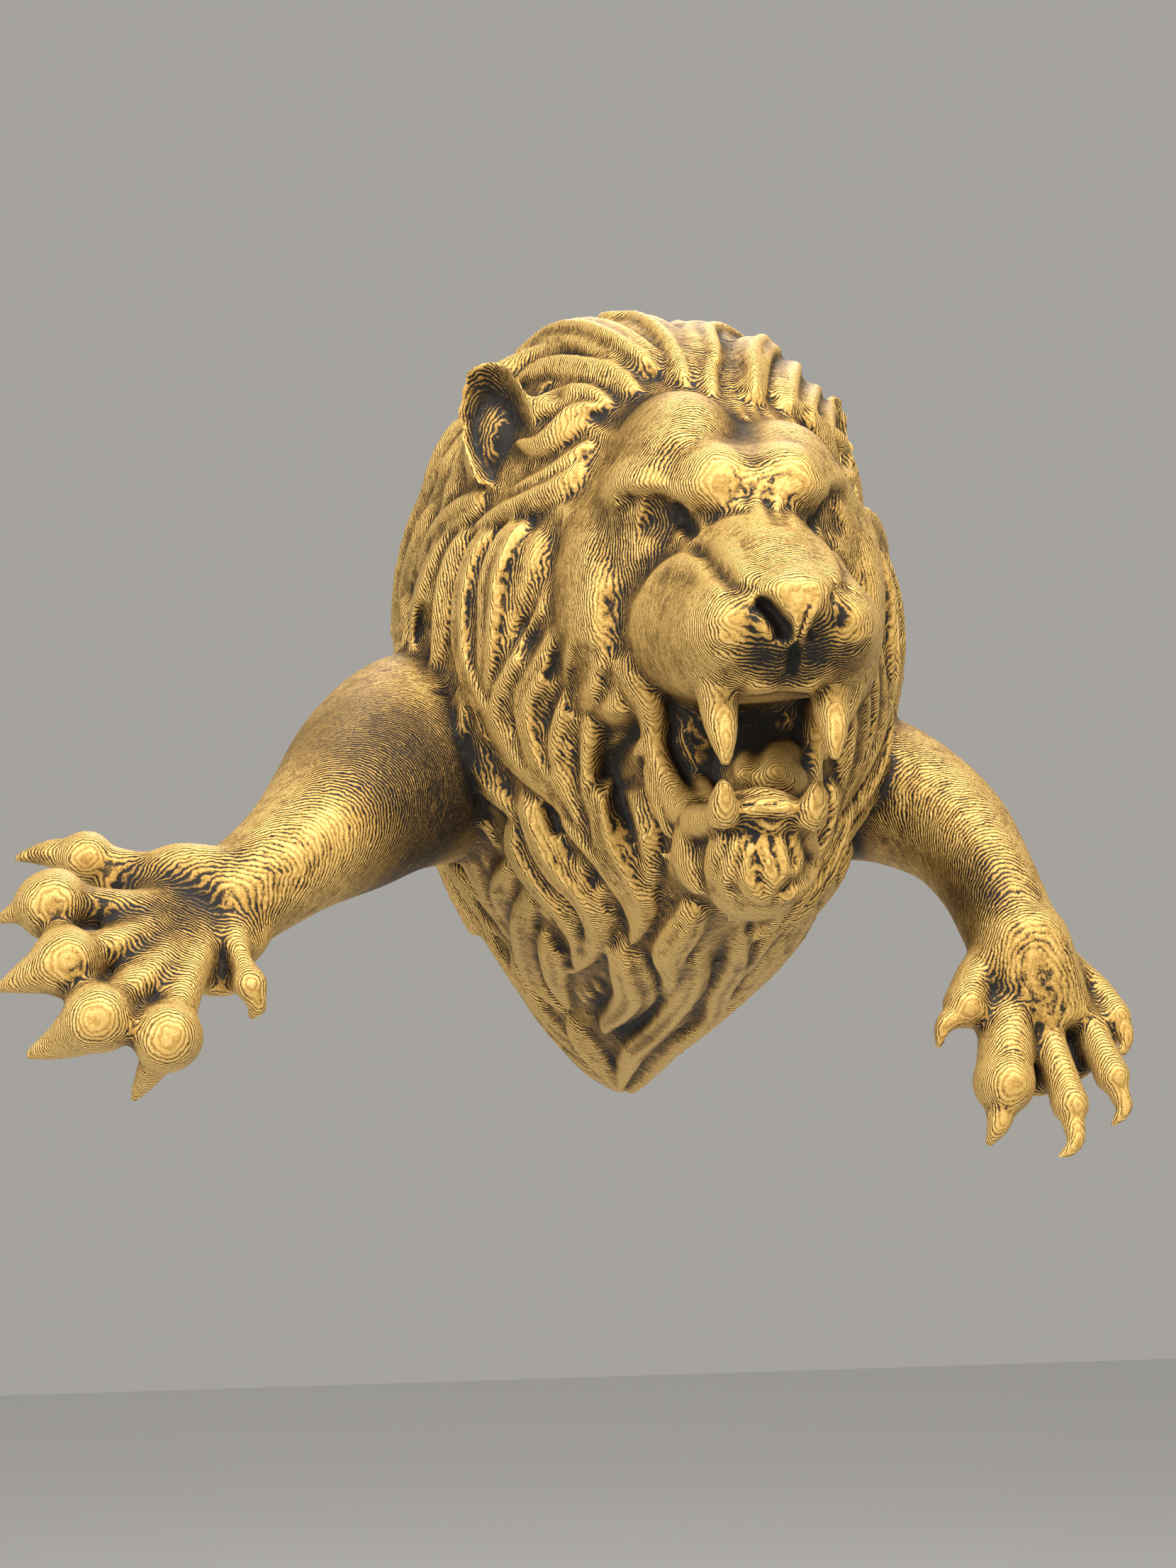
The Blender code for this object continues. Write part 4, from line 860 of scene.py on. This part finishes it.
class Clay:
    # a heap of closed surfaces fused into one skin of quads, held as arrays
    def __init__(self, heap):
        rough = newObject("rough", np.concatenate(heap.points), heap.faces)
        fuse = rough.modifiers.new("fuse", "REMESH")
        fuse.mode = "VOXEL"
        fuse.voxel_size = sculpt["grain"] * unit
        mesh = worked(rough)
        bpy.data.objects.remove(rough)
        self.points = meshPoints(mesh)
        corners = np.empty(4 * len(mesh.polygons), np.int32)
        mesh.polygons.foreach_get("vertices", corners)
        bpy.data.meshes.remove(mesh)
        self.quads = corners.reshape(-1, 4)
        self.keepOuterSkin()
        edges = np.concatenate([self.quads[:, [k, (k + 1) % 4]] for k in range(4)])
        edges = np.sort(edges, axis=1)
        key = np.unique(edges[:, 0].astype(np.int64) * len(self.points) + edges[:, 1])
        self.edges = np.stack([key // len(self.points), key % len(self.points)], -1)
        self.degree = np.bincount(self.edges.ravel(), minlength=len(self.points))[:, None]

    def keepOuterSkin(self):
        # small hollows shut in between the forms come out as skins of their own, and are dropped
        label = np.arange(len(self.points))
        while True:
            low = label[self.quads].min(1)
            new = label.copy()
            for k in range(4):
                np.minimum.at(new, self.quads[:, k], low)
            new = new[new]
            if (new == label).all():
                break
            label = new
        kept = label == np.bincount(label).argmax()
        self.quads = (np.cumsum(kept) - 1)[self.quads[kept[self.quads[:, 0]]]]
        self.points = self.points[kept]

    def mean(self, values):
        # mean over each point's neighbours
        i, j = self.edges.T
        total = np.zeros_like(values)
        for k in range(values.shape[1]):
            column = values[:, k]
            total[:, k] = np.bincount(i, column[j], len(total)) + np.bincount(j, column[i], len(total))
        return total / self.degree

    def smooth(self, times, share):
        for _ in range(times):
            self.points += 0.5 * share * (self.mean(self.points) - self.points)

    def normals(self):
        a, b, c, d = (self.points[self.quads[:, k]] for k in range(4))
        across = np.cross(c - a, d - b)
        total = np.zeros_like(self.points)
        for corner in self.quads.T:
            for k in range(3):
                total[:, k] += np.bincount(corner, across[:, k], len(total))
        return unitRows(total)

    def press(self, knots, width, depth, way=None, taper=0.25):
        # groove depth (1 - (distance / width)^2)^2 along a path, fading at its ends
        path = curve(knots, 24)
        inside = ((self.points > path.min(0) - width) & (self.points < path.max(0) + width)).all(1)
        found = np.where(inside)[0]
        gap = np.linalg.norm(self.points[found, None] - path[None], axis=-1)
        near = gap.min(1)
        along = gap.argmin(1) / (len(path) - 1)
        close = near < width
        found, near, along = found[close], near[close], along[close]
        fade = np.sqrt(np.clip(np.minimum(along, 1 - along) / taper, 0, 1))
        way = self.normal[found] if way is None else np.asarray(way, float)
        self.points[found] -= way * (depth * (1 - (near / width)**2)**2 * fade)[:, None]

    def look(self):
        # keeps where the camera sees each point before its forms are drawn on
        self.places, self.far = pixelOf(self.points)

    def seen(self, pixels):
        # the points at these pixels that are nearest the camera
        return [self.points[(((self.places - pixel)**2).sum(1) + depthWeight * self.far).argmin()]
                for pixel in pixels]

    def recess(self):
        # how far each point lies below its surroundings, at three reaches
        normal = self.normals()
        soft = self.points.copy()
        total = np.zeros(len(soft))
        done = 0
        for times, gain in sculpt["reaches"]:
            while done < times:
                soft += 0.5 * (self.mean(soft) - soft)
                done += 1
            total += gain * ((soft - self.points) * normal).sum(1) / math.sqrt(times)
        return total


def masses():
    heap = Heap()
    plainMantle(heap)
    headMasses(heap)
    legMasses(heap)
    pawMasses(heap)
    return heap


def carving(heap, clay):
    paths = ledPaths()
    combedMantle(heap, paths)
    for led in paths:
        ledLock(heap, *led)
    carveFace(heap)
    beard(heap, clay)
    ears(heap)
    claws(heap)


# Soft swellings raised on the face where the camera sees them, and mirrored: (pixels, width, height)
swells = dict(
    brow=([(1052, 700), (1020, 706), (985, 698), (950, 696), (915, 696), (885, 702)], 5.4, 1.0),
    wing=([(1066, 838), (1080, 829), (1100, 829), (1115, 842), (1121, 862)], 3.4, 0.6),
    snarl=([(1000, 764), (1024, 788), (1044, 812), (1060, 830)], 5.2, 1.2),
    padTop=([(908, 832), (926, 806), (954, 792), (984, 798), (1008, 818), (1030, 840)], 4.6, 1.0),
    lip=([(1110, 942), (1070, 952), (1030, 964), (985, 968), (950, 968)], 4.4, 0.9))

# Grooves pressed into it the same way: (pixels, width, depth)
grooves = dict(
    eye=([(944, 708), (955, 722), (966, 738), (980, 756)], 3.1, 1.9),
    underBrow=([(868, 708), (898, 707), (925, 706), (948, 711)], 3.6, 1.7),
    underEye=([(968, 764), (938, 782), (908, 808), (886, 840), (876, 880), (884, 930)], 5.4, 1.0),
    eyeSlope=([(905, 728), (935, 740), (956, 750)], 7.5, 1.4),
    snarl=([(966, 768), (988, 778), (1008, 798), (1026, 820), (1048, 838)], 3.0, 1.7),
    browFold=([(990, 742), (1010, 730), (1036, 722), (1064, 722)], 2.4, 0.9),
    whiskerLow=([(1052, 922), (1026, 918), (1000, 908)], 1.7, 0.4),
    whiskerHigh=([(1046, 897), (1020, 892), (996, 884)], 1.7, 0.35))
lipGap = ([(1044, 1136), (1062, 1130), (1086, 1129), (1112, 1136)], 1.4, 1.2)
nostril = ([(1064, 850), (1079, 856), (1093, 869), (1104, 888), (1110, 906)], 2.8, 4.2)
nostrilWay = (0.25, 0.9, -0.3)      # which way the right one is pressed
philtrum = ([(1144, 846), (1138, 872), (1130, 900), (1122, 928), (1122, 950)], 1.7, 1.7)

# Hollows between the locks and folds of the brow, where the camera sees them: (pixels, width, depth)
hollows = dict(
    temple=([(757, 866), (745, 900), (728, 928)], 4.1, 2.5),
    cheekOne=([(800, 888), (784, 925), (766, 956)], 3.7, 2.2),
    cheekTwo=([(826, 905), (812, 950), (793, 1005)], 5.3, 3.6),
    cheekThree=([(852, 945), (846, 985), (828, 1020)], 3.4, 2.0),
    behindJaw=([(866, 1005), (871, 1042), (868, 1085), (882, 1132), (908, 1185)], 6.2, 4.2),
    back=([(597, 850), (595, 885), (586, 912)], 3.9, 2.9),
    outer=([(642, 872), (635, 925), (622, 985)], 3.9, 2.5),
    outerLow=([(676, 1000), (698, 1058), (722, 1092)], 3.7, 2.7),
    longLock=([(764, 1116), (784, 1150), (794, 1178)], 3.9, 2.5),
    low=([(690, 1170), (697, 1215), (700, 1262)], 5.3, 2.5),
    lowNext=([(735, 1243), (727, 1270), (722, 1294)], 3.4, 2.2),
    lowThird=([(778, 1290), (790, 1330), (806, 1352)], 4.1, 2.2),
    longTips=([(868, 1258), (879, 1290), (884, 1322)], 3.7, 2.2),
    chestLeft=([(838, 1346), (846, 1388), (838, 1436)], 7.5, 3.1),
    chestRight=([(926, 1412), (896, 1446), (878, 1476)], 6.4, 2.9),
    chestSide=([(1032, 1290), (1020, 1335), (1004, 1368)], 5.8, 2.2),
    earHollow=([(768, 545), (784, 546), (798, 541)], 4.4, 3.4),
    tuftHollow=([(828, 582), (840, 584), (854, 592)], 3.4, 1.2),
    crownOne=([(1034, 478), (1043, 512), (1048, 556)], 3.4, 2.5),
    crownTwo=([(1092, 512), (1088, 540), (1084, 566)], 3.4, 2.2),
    frownLeft=([(1080, 702), (1088, 722), (1095, 742)], 2.1, 2.2),
    frownRight=([(1110, 712), (1107, 728), (1104, 745)], 2.0, 1.7),
    forehead=([(1048, 588), (1050, 612), (1056, 640)], 6.0, 1.7))

# The throat as an ellipse in (x, z), the depths between which it lies, and how far it goes back
throat = dict(middle=-14, radii=(16.5, 15), behind=84, front=112, fade=12, back=24)


def pressGrooves(clay):
    clay.look()
    clay.normal = clay.normals()
    for forms, way in ((swells, -1), (grooves, 1)):
        for knots, width, depth in forms.values():
            path = clay.seen(knots)
            clay.press(path, width, way * depth)
            clay.press([mirrored(point) for point in path], width, way * depth)
        clay.normal = clay.normals()
    knots, width, depth = nostril
    path = clay.seen(knots)
    x, out, z = nostrilWay
    clay.press(path, width, depth, at(-x, out, z))
    clay.press([mirrored(point) for point in path], width, depth, at(x, out, z))
    for knots, width, depth in (philtrum, lipGap):
        clay.press(clay.seen(knots), width, depth)
    for knots, width, depth in hollows.values():
        clay.press(clay.seen(knots), width, depth, -viewForward, taper=0.5)
    # what lies deep between palate and tongue goes back
    x, y, z = clay.points.T
    deep = np.hypot((x - head["throatX"]) / throat["radii"][0], (z - throat["middle"]) / throat["radii"][1])
    share = np.clip((throat["front"] + y) / throat["fade"], 0, 1)
    inside = (deep < 1) & (y < -throat["behind"]) & (share > 0)
    clay.points[inside, 1] += throat["back"] * (1 - deep[inside]**4) * share[inside]


def flatBack(mesh):
    # everything past the flat back is cut away and the cut is filled
    work = bmesh.new()
    work.from_mesh(mesh)
    cut = bmesh.ops.bisect_plane(work, geom=[*work.verts, *work.edges, *work.faces], plane_co=(0, 0, 0),
                                 plane_no=(0, 1, 0), clear_outer=True)["geom_cut"]
    rim = [item for item in cut if isinstance(item, bmesh.types.BMEdge)]
    bmesh.ops.edgeloop_fill(work, edges=rim)
    bmesh.ops.recalc_face_normals(work, faces=work.faces)
    work.to_mesh(mesh)
    work.free()


def wearShare(points):
    # how much of the wear each point gets: none at the flat back, little on the paws
    x, y, z = points.T

    def grown(value, start, grow):
        return np.clip((value - start) / grow, 0, 1)

    leftStart, leftGrow = paws["leftFrom"]
    belowStart, belowGrow = paws["rightBelow"]
    leftPaw = grown(-x, -leftStart, leftGrow)
    rightPaw = grown(x, *paws["rightFrom"]) * grown(-z, -belowStart, belowGrow)
    share = grown(-y, *sculpt["wearFrom"]) * (1 - (1 - paws["wear"]) * np.maximum(leftPaw, rightPaw))
    return share[:, None]


def makeLion():
    blank = Clay(masses())
    blank.smooth(sculpt["wear"], wearShare(blank.points))
    heap = Heap()
    heap.add(blank.points, [blank.quads])
    carving(heap, blank)
    clay = Clay(heap)
    print("lion fused", len(clay.quads))
    clay.smooth(2, 1.0)
    pressGrooves(clay)
    clay.smooth(1, 1.0)
    recess = clay.recess()
    rough = newObject("roughLion", clay.points, [clay.quads])
    thin = rough.modifiers.new("thin", "DECIMATE")
    thin.ratio = min(1.0, sculpt["triangles"] / (2 * len(clay.quads)))
    mesh = worked(rough)
    bpy.data.objects.remove(rough)
    flatBack(mesh)
    points = np.clip(meshPoints(mesh), boxLow / unit, boxHigh / unit)
    mesh.vertices.foreach_set("co", (points * unit).astype(np.float32).ravel())
    tree = treeOf(clay.points)
    nearest = np.array([tree.find(point)[1] for point in points])
    hollow = mesh.attributes.new("recess", "FLOAT", "POINT")
    hollow.data.foreach_set("value", recess[nearest].astype(np.float32))
    mesh.shade_smooth()
    mesh.set_sharp_from_angle(angle=math.radians(sculpt["sharp"]))
    mesh.name = "lionSculpt"
    print("lion finished", len(mesh.polygons))
    return linked("lionSculpt", mesh)


# Shader maths as expressions

class Wire:
    # wraps a socket, so that an expression on values adds its Math nodes
    def __init__(self, tree, socket):
        self.tree = tree
        self.socket = socket

    def node(self, kind, settings=None, **values):
        node = self.tree.nodes.new(kind)
        for key, value in (settings or {}).items():
            if key == "stops":
                ramp = node.color_ramp
                while len(ramp.elements) < len(value):
                    ramp.elements.new(0.5)
                for element, (place, colour) in zip(ramp.elements, value):
                    element.position = place
                    element.color = (*colour, 1)
            else:
                setattr(node, key, value)
        for key, value in values.items():
            socket = node.inputs[int(key[2:])] if key.startswith("at") else node.inputs[key]
            if isinstance(value, Wire):
                self.tree.links.new(value.socket, socket)
            else:
                socket.default_value = value
        return node

    def out(self, kind, output, settings=None, **values):
        return Wire(self.tree, self.node(kind, settings, **values).outputs[output])

    def maths(self, operation, *values, clamp=False):
        settings = {"operation": operation, "use_clamp": clamp}
        return self.out("ShaderNodeMath", 0, settings, **{"at%d" % k: v for k, v in enumerate(values)})

    def __add__(self, other):
        return self.maths("ADD", self, other)

    def __sub__(self, other):
        return self.maths("SUBTRACT", self, other)

    def __mul__(self, other):
        return self.maths("MULTIPLY", self, other)

    def __truediv__(self, other):
        return self.maths("DIVIDE", self, other)

    def __rsub__(self, other):
        return self.maths("SUBTRACT", other, self)

    __radd__ = __add__
    __rmul__ = __mul__

    def clamp(self):
        return self.maths("ADD", self, 0.0, clamp=True)

    def blend(self, low, high):
        # 0 below low, 1 above high, smooth between
        settings = {"interpolation_type": "SMOOTHSTEP"}
        return self.out("ShaderNodeMapRange", 0, settings, Value=self, at1=low, at2=high, at3=0.0, at4=1.0)

    def mix(self, first, second):
        # first where this is 0, second where it is 1
        settings = {"data_type": "RGBA"}
        return self.out("ShaderNodeMix", 2, settings, at0=self, at6=first, at7=second)


# The paint: a black base coat dry-brushed with old gold, so that the recesses and the valleys between the
# printed layers stay black
paint = dict(
    black=(0.0085, 0.0075, 0.0065, 1),
    umber=(0.070, 0.038, 0.012, 1),
    gold=[(0.0, (0.11, 0.055, 0.011)), (0.35, (0.32, 0.176, 0.038)), (0.7, (0.59, 0.355, 0.090)),
          (1.0, (0.88, 0.60, 0.21))],
    layer=0.46,             # height of one printed layer
    group=1.5,              # every few layers a valley shows darker
    # what each pattern adds to the gold that a place takes, to how dark, brushed and bright it is, and to its
    # relief
    takes=dict(base=0.53, recess=-3.6, patches=1.1, smudge=1.3, streaks=1.15, groups=0.22, speck=1.3),
    # what makes a place dark: the painted shade patches, and smudges, streaks and specks of the paint
    dark=dict(shadeAndSmudge=1.3, smudge=1.6, streaks=1.2, speck=0.8, base=-0.12),
    brushed=dict(reach=1.0, rings=1.5, grit=1.1),
    bright=dict(reach=0.72, rings=0.5, speck=0.6, streaks=0.3, grit=0.4, base=0.13),
    relief=dict(rings=0.16, groups=0.14, speck=0.16, grit=0.06),
    edge=(0.14, 0.58),      # between these black turns to gold
    shadeLoss=0.85,            # how much of its gold a place loses under painted shade and dark smudges
    most=0.84,              # more gold than this no place takes
    # noises as scale, detail and roughness
    noises=dict(patches=(50, 4.0, 0.65), smudge=(240, 4.0, 0.7), streaks=(190, 4.0, 0.7),
                speck=(1500, 4.0, 0.8), grit=(5200, 2.0, 0.7), wobble=(190, 3.0, 0.6)),
    stretch=(1, 9, 1),      # streaks are drawn out along the layers
    wobble=3.4,             # how many layers the rings stray
    # places painted dark as shade, in the mouth, in hollows, under the toes and brows, between the digits and
    # # over the shaded arms, partly also base coat that the brush left black: (x, out, z), radii and how dark
    shadeAndSmudge=dict(
        mouth=((2.5, 96, -14), (34, 34, 28), 1.0),
        philtrum=((3.5, 156, 0), (15, 12, 13), 1.4),
        padRight=((16, 150, 3), (9, 10, 9), 0.9),
        crown=((18, 72, 82), (6, 18, 9), 0.9),
        nostrilLeft=((-3.5, 154, 9), (7, 7, 5.5), 1.0),
        nostrilRight=((12, 154, 9), (7, 7, 5.5), 0.7),
        forehead=((2, 110, 60), (16, 20, 17), 0.6),
        hairline=((-16, 102, 64), (22, 16, 12), 0.7),
        eyeLeft=((-11.5, 122, 31), (4.5, 8, 5), 0.5),
        eyeRight=((16.5, 122, 32), (4.5, 8, 5), 0.5),
        claw=((-148, 92, -36), (13, 12, 9), 1.0),
        underToe=((-132, 90, -41), (12, 10, 6), 1.0),
        leftArm=((-70, 72, -24), (32, 32, 32), 1.6),
        leftPaw=((-122, 104, -50), (34, 26, 30), 0.55),
        leftElbow=((-88, 84, -30), (16, 16, 16), 0.35),
        rightWrist=((70, 74, -42), (13, 16, 18), 0.8),
        rightArm=((44, 40, -26), (14, 26, 14), 0.9),
        jawLeft=((-24, 106, -22), (10, 12, 24), 0.9),
        chin=((-10, 110, -42), (12, 10, 10), 0.7),
        ear=((-44, 80, 64), (10, 12, 17), 0.7),
        chest=((-6, 44, -72), (20, 26, 20), 0.7),
        rightWebs=((88, 77, -89), (22, 14, 19), 1.3),
        leftWebs=((-127, 104, -58), (14, 11, 16), 0.8)))


def gildedPrint():
    material = bpy.data.materials.new("gildedPrint")
    material.use_nodes = True
    tree = material.node_tree
    shader = tree.nodes["Principled BSDF"]
    start = Wire(tree, None)
    place = start.out("ShaderNodeTexCoord", "Object")
    recess = start.out("ShaderNodeAttribute", "Fac", {"attribute_name": "recess"})

    def noise(name, where=place):
        scale, detail, roughness = paint["noises"][name]
        return start.out("ShaderNodeTexNoise", 0, None, Vector=where, Scale=scale, Detail=detail,
                         Roughness=roughness) - 0.5

    def shadePatch(middle, radii):
        # painted shade: 1 in the middle of an ellipsoid, 0 at its skin
        shift = start.out("ShaderNodeVectorMath", 0, {"operation": "SUBTRACT"}, at0=place,
                          at1=tuple(at(*middle) * unit))
        scaled = start.out("ShaderNodeVectorMath", 0, {"operation": "DIVIDE"}, at0=shift,
                           at1=tuple(unit * radius for radius in radii))
        return 1 - start.out("ShaderNodeVectorMath", 1, {"operation": "LENGTH"}, at0=scaled)

    depth = start.out("ShaderNodeSeparateXYZ", 1, None, Vector=place) * (-1 / unit)
    stretched = start.out("ShaderNodeVectorMath", 0, {"operation": "MULTIPLY"}, at0=place,
                          at1=paint["stretch"])
    patches, smudge, speck, grit = [noise(name) for name in ("patches", "smudge", "speck", "grit")]
    streaks = noise("streaks", stretched)
    facing = start.out("ShaderNodeSeparateXYZ", 1, None, Vector=start.out("ShaderNodeNewGeometry", "Normal"))
    slope = (1 - facing * facing).blend(0.03, 0.5)
    wobble = noise("wobble") * paint["wobble"]
    rings = start.maths("SINE", (depth / paint["layer"] + wobble) * (2 * math.pi)) * (slope * 0.28 + 0.22)
    groups = start.maths("SINE", (depth / paint["group"] + wobble * 2.0 + streaks) * (2 * math.pi)) * 0.5
    # painted shade: at each place the darkest of the shade patches, partly also dark base coat
    shadeAndSmudge = start.maths("MAXIMUM", 0.0, 0.0)
    for middle, radii, darkness in paint["shadeAndSmudge"].values():
        shadeAndSmudge = start.maths("MAXIMUM", shadeAndSmudge, shadePatch(middle, radii) * darkness)
    patterns = dict(recess=recess, patches=patches, smudge=smudge, streaks=streaks, speck=speck, grit=grit,
                    groups=groups * slope, shadeAndSmudge=shadeAndSmudge)

    def weighed(name):
        # the sum of the patterns times what this mixture takes of each
        total = 0.0
        for pattern, share in paint[name].items():
            total = total + (share if pattern == "base" else patterns[pattern] * share)
        return total

    # how dark a place is: painted shade, with dark smudges, streaks and specks of the paint
    shadeAndSmudge = weighed("dark").blend(0.0, 0.9)
    # how much gold a place takes: high ground most, recesses none, less under painted shade
    reach = start.maths("MINIMUM", weighed("takes") - shadeAndSmudge * paint["shadeLoss"], paint["most"])
    # the flat back is plain
    front = depth.blend(0.2, 1.2)
    patterns["reach"] = reach * front + (1 - front) * (0.36 + smudge * 0.5)
    patterns["rings"] = rings * front
    taken = weighed("brushed").blend(*paint["edge"])
    gold = start.out("ShaderNodeValToRGB", 0, {"stops": paint["gold"]}, Fac=weighed("bright").clamp())
    # the black base coat, warmed to umber along streaks, stays black under painted shade
    base = ((streaks + 0.05).blend(0.0, 0.3) * 0.7 * (1 - shadeAndSmudge)).mix(paint["black"], paint["umber"])
    colour = taken.mix(base, gold)
    tree.links.new(colour.socket, shader.inputs["Base Color"])
    tree.links.new((0.56 - taken * 0.10 + speck * 0.3).socket, shader.inputs["Roughness"])
    tree.links.new((taken * 0.35).socket, shader.inputs["Metallic"])
    bump = start.node("ShaderNodeBump", None, Strength=0.7, Distance=unit, Height=weighed("relief"))
    tree.links.new(bump.outputs[0], shader.inputs["Normal"])
    shader.inputs["Specular IOR Level"].default_value = 0.25
    return material


lion = makeLion()
lion.data.materials.append(gildedPrint())
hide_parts("lion")
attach(lion, "root")
print("lion painted")


# Floor, light and camera
studio = dict(
    floorDrop=0.55,         # floor below the lion, in metres
    floorSize=6.0,
    floorColour=(0.72, 0.72, 0.71, 1),
    floorRoughness=0.8,
    world=(0.86, 0.83, 0.78, 1),
    worldStrength=0.44,
    aim=(0, -0.07, 0),      # where the lights point
    # lights as place, energy, size and colour
    key=((0.25, -0.75, 0.95), 24, 0.40, (1.0, 0.965, 0.90)),
    fill=((-0.95, -0.7, 0.35), 11, 0.6, (1.0, 0.98, 0.95)),
    rim=((0.2, 0.9, 0.9), 8, 0.7, (1.0, 1.0, 1.0)))


def areaLight(name, place, energy, size, colour):
    data = bpy.data.lights.new(name, "AREA")
    data.energy = energy
    data.size = size
    data.color = colour
    thing = linked(name, data)
    thing.location = place
    thing.rotation_euler = (Vector(studio["aim"]) - Vector(place)).to_track_quat("-Z", "Y").to_euler()


def makeStudio():
    half = studio["floorSize"] / 2
    low = boxLow[2] - studio["floorDrop"]
    corners = np.array([(-half, -half, low), (half, -half, low), (half, half, low), (-half, half, low)])
    floor = newObject("studioFloor", corners / unit, [np.array([(0, 1, 2, 3)])])
    material = bpy.data.materials.new("paleFloor")
    material.use_nodes = True
    shader = material.node_tree.nodes["Principled BSDF"]
    shader.inputs["Base Color"].default_value = studio["floorColour"]
    shader.inputs["Roughness"].default_value = studio["floorRoughness"]
    floor.data.materials.append(material)
    world = bpy.data.worlds.new("paleRoom")
    world.use_nodes = True
    sky = world.node_tree.nodes["Background"]
    sky.inputs[0].default_value = studio["world"]
    sky.inputs[1].default_value = studio["worldStrength"]
    bpy.context.scene.world = world
    for name in ("key", "fill", "rim"):
        areaLight(name, *studio[name])


def makeCamera():
    data = bpy.data.cameras.new("photoView")
    data.sensor_fit = "VERTICAL"
    data.sensor_height = view["sensor"]
    data.lens = view["lens"]
    data.clip_start = 0.01
    right = Vector(view["right"]).normalized()
    forward = Vector(view["forward"]).normalized()
    turn = Matrix((right, right.cross(forward), -forward)).transposed()
    camera = linked("photoView", data)
    camera.matrix_world = Matrix.Translation(Vector(view["place"])) @ turn.to_4x4()
    bpy.context.scene.camera = camera


makeStudio()
makeCamera()
bpy.context.scene.view_settings.view_transform = "Standard"
print("studio set")
